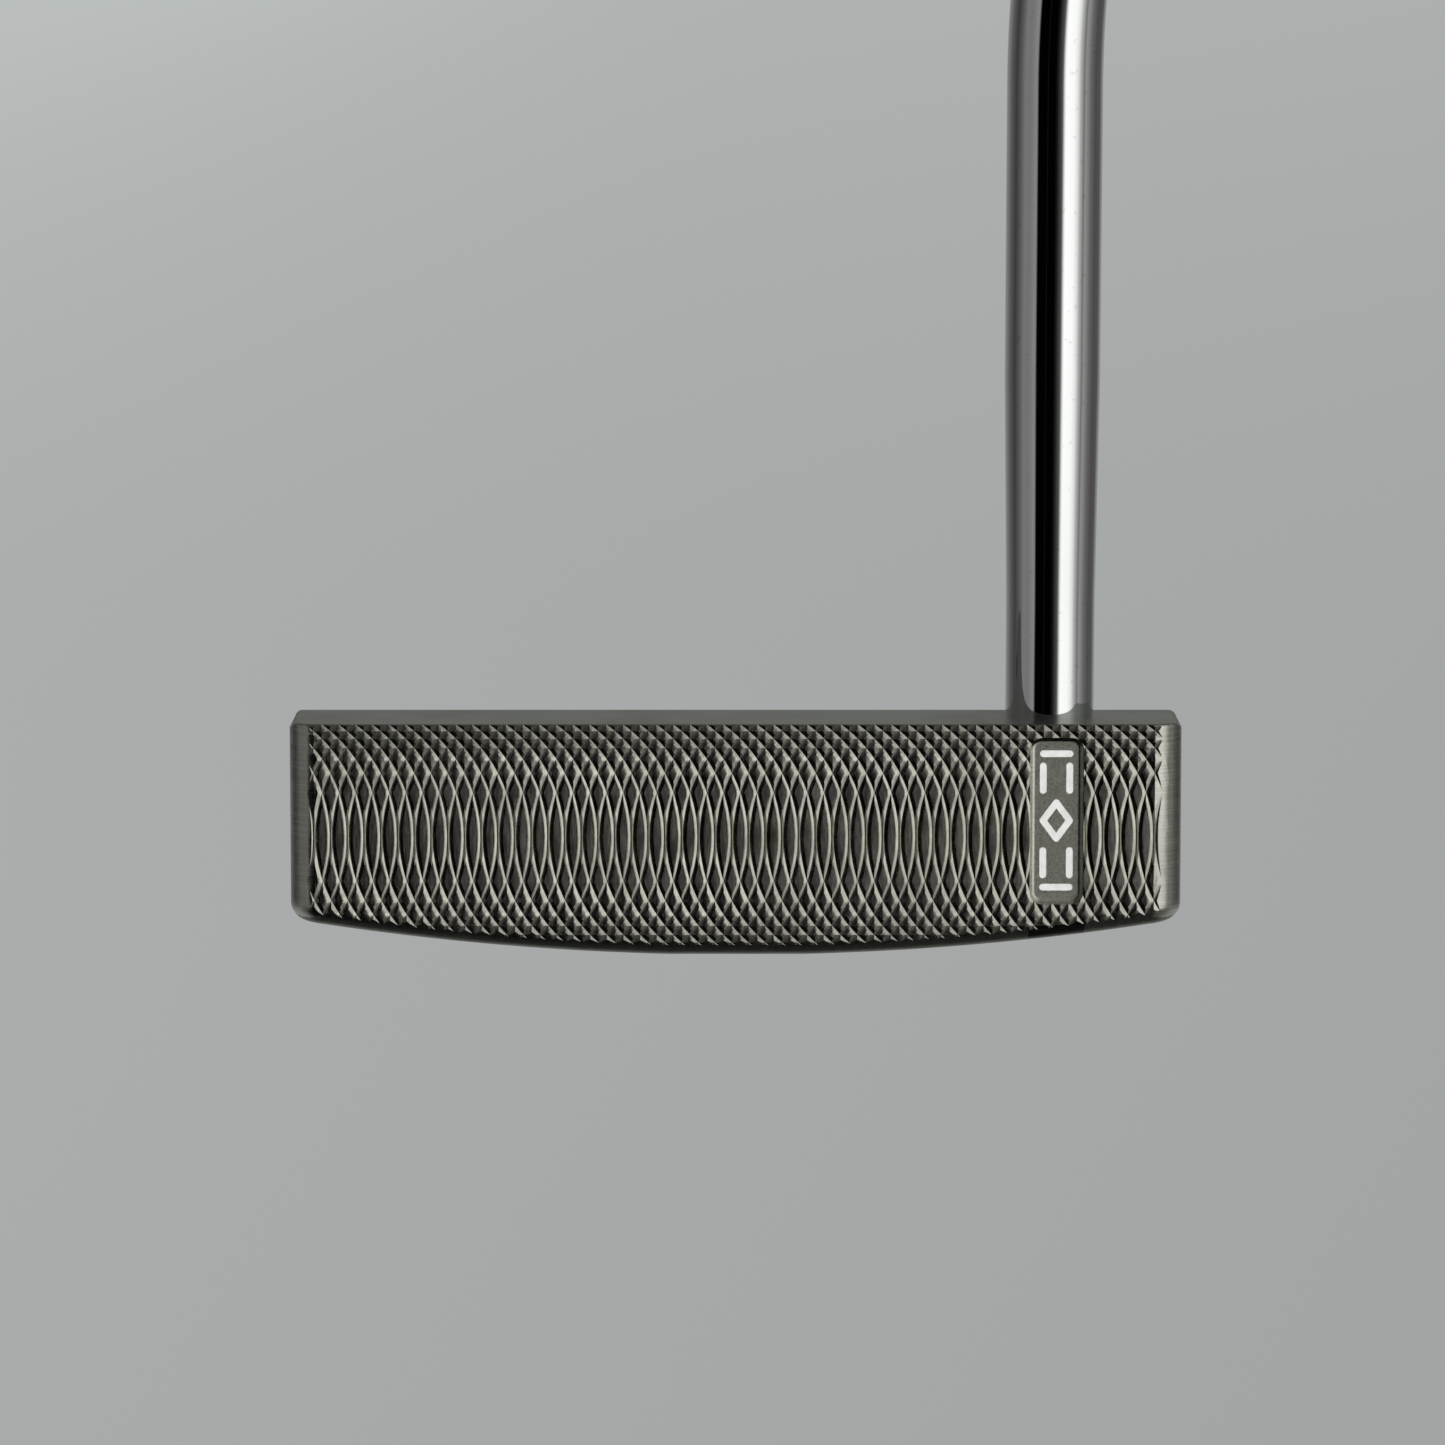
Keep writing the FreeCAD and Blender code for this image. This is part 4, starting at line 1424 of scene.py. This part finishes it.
@dataclass
class Grip:
    """The pistol grip's sleeve: dimpled skin with a plain thumb flat, between the collar and the cap."""

    effects: Effects
    route: Route
    bore: float = 7.5
    collar_length: float = 8.0
    skin: float = 1.3
    side_wall: tuple[float, float] = (2.5, 5.1)
    flat_wall: tuple[float, float] = (2.2, 3.7)
    belly_wall: tuple[float, float] = (2.5, 5.7)
    hook: float = 4.6
    hook_start: float = 0.55
    flat_share: float = 0.62
    corner_depth: float = 0.72
    corner_width: float = 0.67
    rows: int = 420
    columns: int = 144
    dimple_pitch: float = 3.4
    dimple_depth: float = 0.24
    dimple_land: float = 0.25
    dimple_ramp: float = 0.5
    plain_margin: float = 3.5
    fade_length: float = 3.0
    flat_border: float = 0.35
    flat_blend: float = 1.2
    inner_rings: int = 20
    least_dimples: int = 6
    sharp_angle: float = 50.0
    bar_width: float = 1.4
    bar_half: float = 3.4
    bar_cut: float = 0.3
    bar_count: int = 3
    bar_spacing: float = 6.0
    bar_below_cap: float = 26.0
    bar_clear: float = 5.0

    def sizes(self, share: float, inset: float) -> tuple[float, float, float]:
        """Returns half width, flat distance and belly distance at a share of the length.

        Args:
            share: how far from the mouth to the butt.
            inset: how far inside the outer surface, in millimetres.

        Returns:
            The three sizes in millimetres.
        """
        half = self.bore + self.side_wall[0] + (self.side_wall[1] - self.side_wall[0]) * share
        flat = self.bore + self.flat_wall[0] + (self.flat_wall[1] - self.flat_wall[0]) * share
        belly = self.bore + self.belly_wall[0] + (self.belly_wall[1] - self.belly_wall[0]) * share
        if share > self.hook_start:
            along = (share - self.hook_start) / (1 - self.hook_start)
            belly += self.hook * (1 - math.cos(math.pi * along)) / 2
        return half - inset, flat - inset, belly - inset

    @staticmethod
    def _arc(start: np.ndarray, middle: np.ndarray, end: np.ndarray, count: int) -> np.ndarray:
        """Returns points along the circle through three points, without the last.

        Args:
            start: first point.
            middle: a point between.
            end: last point.
            count: how many points.

        Returns:
            The points.
        """
        first, second = middle - start, end - start
        cross = 2 * (first[0] * second[1] - first[1] * second[0])
        squares = np.array([first @ first, second @ second])
        centre = start + np.array([
            second[1] * squares[0] - first[1] * squares[1],
            first[0] * squares[1] - second[0] * squares[0],
        ]) / cross
        angles = [math.atan2(*(point - centre)[::-1]) for point in (start, middle, end)]
        clockwise = (angles[0] - angles[1]) % (2 * math.pi) < math.pi
        sweep = (angles[0] - angles[2]) % (2 * math.pi)
        sweep = -sweep if clockwise else 2 * math.pi - sweep
        places = angles[0] + sweep * np.arange(count) / count
        radius = np.linalg.norm(start - centre)
        return centre + radius * np.column_stack((np.cos(places), np.sin(places)))

    def section(self, share: float, inset: float) -> np.ndarray:
        """Returns the points round one section, from the flat's one edge round the belly and back.

        Args:
            share: how far from the mouth to the butt.
            inset: how far inside the outer surface, in millimetres.

        Returns:
            The points.
        """
        half, flat, belly = self.sizes(share, inset)
        edge = half * self.flat_share
        corner = (-flat * self.corner_depth, edge + (half - edge) * self.corner_width)
        eighth = self.columns // 8
        line = np.column_stack((np.full(eighth, -flat), np.linspace(-edge, edge, eighth, endpoint=False)))
        side = (self.columns - eighth) // 4
        belly_count = self.columns - eighth - 2 * side
        arcs = [
            self._arc(np.array([-flat, edge]), np.array(corner), np.array([0.0, half]), side),
            self._arc(np.array([0.0, half]), np.array([belly, 0.0]), np.array([0.0, -half]), belly_count),
            self._arc(
                np.array([0.0, -half]), np.array([corner[0], -corner[1]]), np.array([-flat, -edge]), side,
            ),
        ]
        return np.vstack([line, *arcs])

    def _dimples(self, ring: np.ndarray, height: float, start: float, end: float) -> np.ndarray:
        """Returns how far each point of a ring is pressed in by the pattern.

        Args:
            ring: the ring's points.
            height: its place along the grip.
            start: where the sleeve starts.
            end: where it ends.

        Returns:
            One depth for each point.
        """
        steps = np.linalg.norm(np.diff(np.vstack([ring, ring[:1]]), axis=0), axis=1)
        round_it = np.concatenate(([0.0], np.cumsum(steps)[:-1]))
        total = steps.sum()
        count = max(self.least_dimples, round(total / self.dimple_pitch))
        around = round_it / total * count * math.pi * 2
        up = height / self.dimple_pitch * math.pi * 2
        wave = np.cos(around / 2 + up / 2) * np.cos(around / 2 - up / 2)
        rise = np.clip((np.abs(wave) - self.dimple_land) / self.dimple_ramp, 0.0, 1.0)
        press = self.dimple_depth * rise
        near_end = min(height - start, end - height)
        fade = min(1.0, max(0.0, (near_end - self.plain_margin) / self.fade_length))
        on_flat = np.clip((ring[:, 0] - ring[:, 0].min() - self.flat_border) / self.flat_blend, 0.0, 1.0)
        return press * fade * on_flat

    def skin_mesh(self) -> tuple[np.ndarray, list[tuple[int, ...]]]:
        """Builds the outer sleeve's points and faces in the grip's own frame.

        Returns:
            The points and the faces.
        """
        start, end = self.collar_length, self.route.grip_length - self.route.cap_thickness
        heights = np.linspace(start, end, self.rows)
        outer, inner = [], []
        for height in heights:
            share = height / self.route.grip_length
            ring = self.section(share, 0.0)
            way = ring / np.linalg.norm(ring, axis=1)[:, None]
            ring = ring - way * self._dimples(ring, height, start, end)[:, None]
            outer.append(np.column_stack((ring, np.full(len(ring), height))))
        for height in heights[:: len(heights) // self.inner_rings].tolist() + [end]:
            ring = self.section(height / self.route.grip_length, self.skin)
            inner.append(np.column_stack((ring, np.full(len(ring), height))))
        columns = self.columns
        faces: list[tuple[int, ...]] = []
        base = len(outer) * columns
        for column in range(columns):
            after = (column + 1) % columns
            for row in range(len(outer) - 1):
                low, high = row * columns, (row + 1) * columns
                faces.append((low + column, low + after, high + after, high + column))
            for row in range(len(inner) - 1):
                low, high = base + row * columns, base + (row + 1) * columns
                faces.append((low + after, low + column, high + column, high + after))
            faces.append((column, base + column, base + after, after))
            top, inner_top = (len(outer) - 1) * columns, base + (len(inner) - 1) * columns
            faces.append((top + column, top + after, inner_top + after, inner_top + column))
        return np.vstack(outer + inner), faces

    def _place(self, piece: bpy.types.Object) -> None:
        """Moves a piece from the grip's own frame on to the shaft.

        Args:
            piece: the object.
        """
        turn = Matrix.Rotation(self.route.lean, 4, "Y")
        piece.data.transform(Matrix.Translation(self.route.at(self.route.mouth) * MM) @ turn)

    def _bar_cutter(self, index: int) -> bpy.types.Object:
        """Builds the cutter of one painted bar's recess.

        Args:
            index: the bar's number, from the cap down.

        Returns:
            The cutter.
        """
        height = self.route.grip_length - self.bar_below_cap - self.bar_spacing * index
        floor = self.bar_cut - self.sizes(height / self.route.grip_length, 0.0)[1]
        low = (floor - self.bar_clear, -self.bar_half, height)
        high = (floor, self.bar_half, height + self.bar_width)
        points = [(x, y, z) for z in (low[2], high[2]) for y in (low[1], high[1]) for x in (low[0], high[0])]
        faces = [(0, 2, 3, 1), (4, 5, 7, 6), (0, 1, 5, 4), (2, 6, 7, 3), (0, 4, 6, 2), (1, 3, 7, 5)]
        return new_piece("bar_cutter", np.array(points), faces)

    def build(self) -> bpy.types.Object:
        """Builds and dresses the sleeve.

        Returns:
            The piece.
        """
        piece = new_piece("grip_sleeve", *self.skin_mesh())
        outward(piece)
        for index in range(self.bar_count):
            cutter = self._bar_cutter(index)
            outward(cutter)
            carve(piece, cutter)
        self._place(piece)
        rubber = Coat(
            "moulded_rubber", (0.012, 0.012, 0.013), (0.022, 0.022, 0.022), 0.58, 0.16,
            bump_depth=0.00003, bump_strength=0.5, fleck=0.35,
        )
        dress(piece, rubber.material(self.effects))
        smooth(piece, self.sharp_angle)
        return fix(piece, Slot.RUBBER, "grip_skin")


# ------------------------------------------------------------------ pieces kept from the frame

@dataclass
class KeptPieces:
    """Frame pieces whose shape is right, which only need their finish."""

    effects: Effects

    def finishes(self) -> dict[str, Finish]:
        """Returns the finish of each kept node.

        Returns:
            Finishes by node name.
        """
        white = Coat(
            "white_mark_paint", (0.97, 0.97, 0.95), (0.84, 0.84, 0.81), 0.42, 0.12,
            fleck=0.12, gloss_coat=0.2,
        )
        light = Coat("grip_mark_paint", (0.62, 0.62, 0.6), (0.5, 0.5, 0.48), 0.5, 0.12)
        return {
            "badge_mark_fill": white,
            "sight_line_fill": white,
            "grip_mark_fill": light,
            "shaft_bond": Coat(
                "cured_adhesive", (0.02, 0.02, 0.018), (0.05, 0.05, 0.045), 0.35, 0.1, gloss_coat=0.3,
            ),
            "tip_plug": Coat("plug_plastic", (0.5, 0.12, 0.08), (0.4, 0.09, 0.06), 0.5),
            "shaft_band": Coat(
                "printed_band", (0.03, 0.035, 0.04), (0.05, 0.055, 0.06), 0.3, 0.1, gloss_coat=0.5,
            ),
            "grip_tape": Coat(
                "tape_weave", (0.55, 0.5, 0.4), (0.42, 0.38, 0.3), 0.8, grain=(2500.0, 2500.0, 2500.0),
            ),
            "grip_core": Coat("foam_core", (0.2, 0.2, 0.2), (0.1, 0.1, 0.1), 0.85, bump_depth=0.0001),
            "grip_cap": Coat(
                "cap_plastic", (0.015, 0.015, 0.016), (0.028, 0.028, 0.03), 0.4, 0.14, fleck=0.25,
            ),
            "grip_collar": Coat("collar_rubber", (0.013, 0.013, 0.014), (0.024, 0.024, 0.024), 0.55, 0.14),
        }

    def dress(self) -> list[str]:
        """Gives every kept node its finish.

        Returns:
            The nodes' names.
        """
        built: dict[str, bpy.types.Material] = {}
        for node, finish in self.finishes().items():
            if finish.name not in built:
                built[finish.name] = finish.material(self.effects)
            dress(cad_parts[node], built[finish.name])
        return sorted(self.finishes())

    def dress_hidden(self) -> None:
        """Gives the replaced nodes the finish of the pieces that stand for them."""
        pairs = {
            "head_body": "putter_head",
            "shaft": "plated_shaft",
            "grip_skin": "grip_sleeve",
            "toe_weight": "toe_weight_screw",
            "heel_weight": "heel_weight_screw",
        }
        for node, piece in pairs.items():
            dress(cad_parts[node], bpy.data.objects[piece].data.materials[0])


# ------------------------------------------------------------------ studio

@dataclass(frozen=True)
class Lamp:
    """A soft lamp aimed at the head: where it stands in metres, its power in watts and its width."""

    name: str
    at: tuple[float, float, float]
    power: float
    size: float


@dataclass
class Studio:
    """Pale floor, soft room light and the camera."""

    floor_drop: float = 300.0
    floor_half: float = 60000.0
    camera_at: tuple[float, float, float] = (-1.39, -599.6, 117.75)
    camera_to: tuple[float, float, float] = (-1.39, -12.4, 24.75)
    lens: float = 140.3
    room: tuple[tuple[float, float], ...] = (
        (-180, 0.30), (-150, 0.20), (-129, 0.10), (-108, 0.045), (-92, 0.105), (-78, 0.20), (-65, 0.19),
        (-56, 0.22), (-50, 0.26), (-46, 0.24), (-43, 0.0005), (-21, 0.0005), (-20, 0.012), (-19, 0.0005),
        (-2, 0.0005), (4, 0.010), (12, 0.06), (16, 0.12), (20, 0.75), (24, 1.15), (44, 1.10), (54, 0.85),
        (62, 0.45), (68, 0.30), (72, 0.16), (76, 0.30), (82, 0.26), (94, 0.14), (112, 0.075), (135, 0.09),
        (150, 0.25), (180, 0.30),
    )
    upper: tuple[tuple[float, float], ...] = (
        (-180, 0.42), (-120, 0.26), (-70, 0.14), (-35, 0.06), (8, 0.06), (18, 0.20), (27, 0.52),
        (46, 0.70), (60, 0.65), (80, 0.40), (110, 0.25), (180, 0.42),
    )
    lower: tuple[tuple[float, float], ...] = (
        (-180, 0.40), (-100, 0.34), (-72, 0.16), (-52, 0.03), (-43, 0.004), (8, 0.004), (18, 0.03),
        (28, 0.10), (60, 0.14), (80, 0.20), (104, 0.34), (180, 0.40),
    )
    overhead_front: float = 0.06
    overhead_rear: float = 0.42
    overhead_turn: tuple[float, float] = (-0.25, 0.35)
    underneath: float = 0.05
    upper_rise: tuple[float, float] = (0.12, 0.42)
    overhead_rise: tuple[float, float] = (0.72, 0.94)
    lower_fall: tuple[float, float] = (-0.12, -0.46)
    underneath_fall: tuple[float, float] = (-0.84, -0.94)
    room_tint: Colour = (1.0, 1.005, 0.985)
    seen_tone: Colour = (0.44, 0.455, 0.455)
    floor_tint: Colour = (0.965, 1.01, 1.0)
    floor_base: Colour = (0.05, 0.05, 0.05)
    floor_glow_pool: tuple[float, float, float, float] = (-0.6, 3.0, 0.345, 0.432)
    floor_near: float = 0.2
    floor_middle: float = 0.5
    floor_aside: float = 0.11
    floor_corner: tuple[float, float, float, float] = (0.05, -1.6, 0.0, 0.055)
    sensor: float = 36.0
    clip: tuple[float, float] = (0.01, 200.0)
    lamps: tuple[Lamp, ...] = (
        Lamp("key_lamp", (0.5, -1.1, 0.9), 19.0, 1.2),
        Lamp("back_lamp", (-0.6, 1.2, 1.1), 9.0, 1.4),
    )

    @staticmethod
    def _stops(band: Sequence[tuple[float, float]]) -> list[tuple[float, Colour]]:
        """Turns bearings in degrees into ramp stops."""
        return [((bearing + 180.0) / 360.0, grey(value)) for bearing, value in band]

    def light(self) -> None:
        """Builds the room's light as a world shader."""
        world = bpy.data.worlds.new("room")
        bpy.context.scene.world = world
        world.use_nodes = True
        sheet = NodeSheet(world.node_tree)
        world.node_tree.nodes.clear()
        way = sheet.add("ShaderNodeTexCoord").outputs["Generated"]
        parts = sheet.add("ShaderNodeSeparateXYZ")
        sheet.feed(parts.inputs[0], way)
        bearing = sheet.maths("ARCTAN2", parts.outputs[0], sheet.maths("MULTIPLY", parts.outputs[1], -1.0))
        share = sheet.maths("ADD", sheet.maths("DIVIDE", bearing, 2 * math.pi), 0.5)
        room = sheet.steps(share, self._stops(self.room))
        upper = sheet.steps(share, self._stops(self.upper))
        lower = sheet.steps(share, self._stops(self.lower))
        height = parts.outputs[2]
        colour = sheet.blend(sheet.span(height, *self.upper_rise), room, upper)
        behind = sheet.span(parts.outputs[1], *self.overhead_turn)
        above = sheet.blend(behind, grey(self.overhead_front), grey(self.overhead_rear))
        colour = sheet.blend(sheet.span(height, *self.overhead_rise), colour, above)
        colour = sheet.blend(sheet.span(height, *self.lower_fall), colour, lower)
        colour = sheet.blend(sheet.span(height, *self.underneath_fall), colour, grey(self.underneath))
        colour = sheet.blend(1.0, colour, self.room_tint, "MULTIPLY")
        seen = sheet.add("ShaderNodeLightPath").outputs["Is Camera Ray"]
        colour = sheet.blend(seen, colour, self.seen_tone)
        glow = sheet.add("ShaderNodeBackground")
        sheet.feed(glow.inputs["Color"], colour)
        glow.inputs["Strength"].default_value = 1.0
        end = sheet.add("ShaderNodeOutputWorld")
        sheet.feed(end.inputs["Surface"], glow.outputs[0])

    def floor(self) -> bpy.types.Object:
        """Builds the pale floor, which glows with a painted pool of light: darker near the head and towards
        +X, lighter farther out and towards -X.

        Returns:
            The floor.
        """
        half = self.floor_half
        corners = [(-half, -half), (half, -half), (half, half), (-half, half)]
        piece = new_piece("floor", np.array([(x, y, -self.floor_drop) for x, y in corners]), [(0, 1, 2, 3)])
        material, sheet, shader = open_material("pale_floor")
        place = sheet.add("ShaderNodeTexCoord").outputs["Object"]
        parts = sheet.add("ShaderNodeSeparateXYZ")
        sheet.feed(parts.inputs[0], place)
        reach = sheet.vector("LENGTH", place).outputs["Value"]
        near = sheet.maths("LOGARITHM", sheet.maths("ADD", reach, self.floor_near), math.e)
        tone = sheet.span(near, *self.floor_glow_pool)
        aside = sheet.maths("DIVIDE", parts.outputs[0], sheet.maths("ADD", reach, self.floor_middle))
        tone = sheet.maths("SUBTRACT", tone, sheet.maths("MULTIPLY", aside, self.floor_aside))
        corner = sheet.span(sheet.maths("MULTIPLY", aside, reach), *self.floor_corner)
        tone = sheet.maths("ADD", tone, corner)
        colour = sheet.vector("SCALE", self.floor_tint)
        sheet.feed(colour.inputs["Scale"], tone)
        sheet.feed(shader.inputs["Base Color"], self.floor_base)
        shader.inputs["Roughness"].default_value = 1.0
        shader.inputs["Specular IOR Level"].default_value = 0.0
        # The floor's emission is painted light: its gradient stands in for the fall-off of the room's light.
        sheet.feed(shader.inputs["Emission Color"], colour.outputs[0])
        shader.inputs["Emission Strength"].default_value = 1.0
        dress(piece, material)
        piece.visible_glossy = False
        return piece

    @staticmethod
    def hang(lamp: Lamp) -> None:
        """Adds a soft lamp that lights the head without showing in its reflections.

        Args:
            lamp: the lamp's place, power and width.
        """
        data = bpy.data.lights.new(lamp.name, "AREA")
        data.energy = lamp.power
        data.size = lamp.size
        hung = link(lamp.name, data)
        hung.location = lamp.at
        hung.rotation_euler = (-Vector(lamp.at)).to_track_quat("-Z", "Y").to_euler()
        hung.visible_glossy = False

    def camera(self) -> None:
        """Builds the camera and makes it the scene's."""
        data = bpy.data.cameras.new("camera")
        data.lens = self.lens
        data.sensor_width = self.sensor
        data.clip_start, data.clip_end = self.clip
        camera = link("camera", data)
        camera.location = Vector(self.camera_at) * MM
        aim = (Vector(self.camera_to) - Vector(self.camera_at)).to_track_quat("-Z", "Y")
        camera.rotation_euler = aim.to_euler()
        bpy.context.scene.camera = camera

    def build(self) -> None:
        """Builds the room, the floor and the camera."""
        self.light()
        for lamp in self.lamps:
            self.hang(lamp)
        self.floor()
        self.camera()
        view = bpy.context.scene.view_settings
        view.view_transform = "Standard"
        view.look = "None"


def main() -> None:
    """Builds every sub-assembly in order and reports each."""
    logging.basicConfig(level=logging.INFO, format="%(name)s: %(message)s")
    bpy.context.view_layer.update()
    Studio().build()
    effects = Effects()
    route = Route()
    pieces = [Head(effects).build(), Shaft(effects, route).build()]
    pieces += SoleWeights(effects).build()
    pieces.append(Grip(effects, route).build())
    for piece in pieces:
        LOG.info("%s: %d faces", piece.name, len(piece.data.polygons))
    kept = KeptPieces(effects)
    LOG.info("kept from the frame: %s", ", ".join(kept.dress()))
    kept.dress_hidden()


if __name__ == "__main__":
    main()
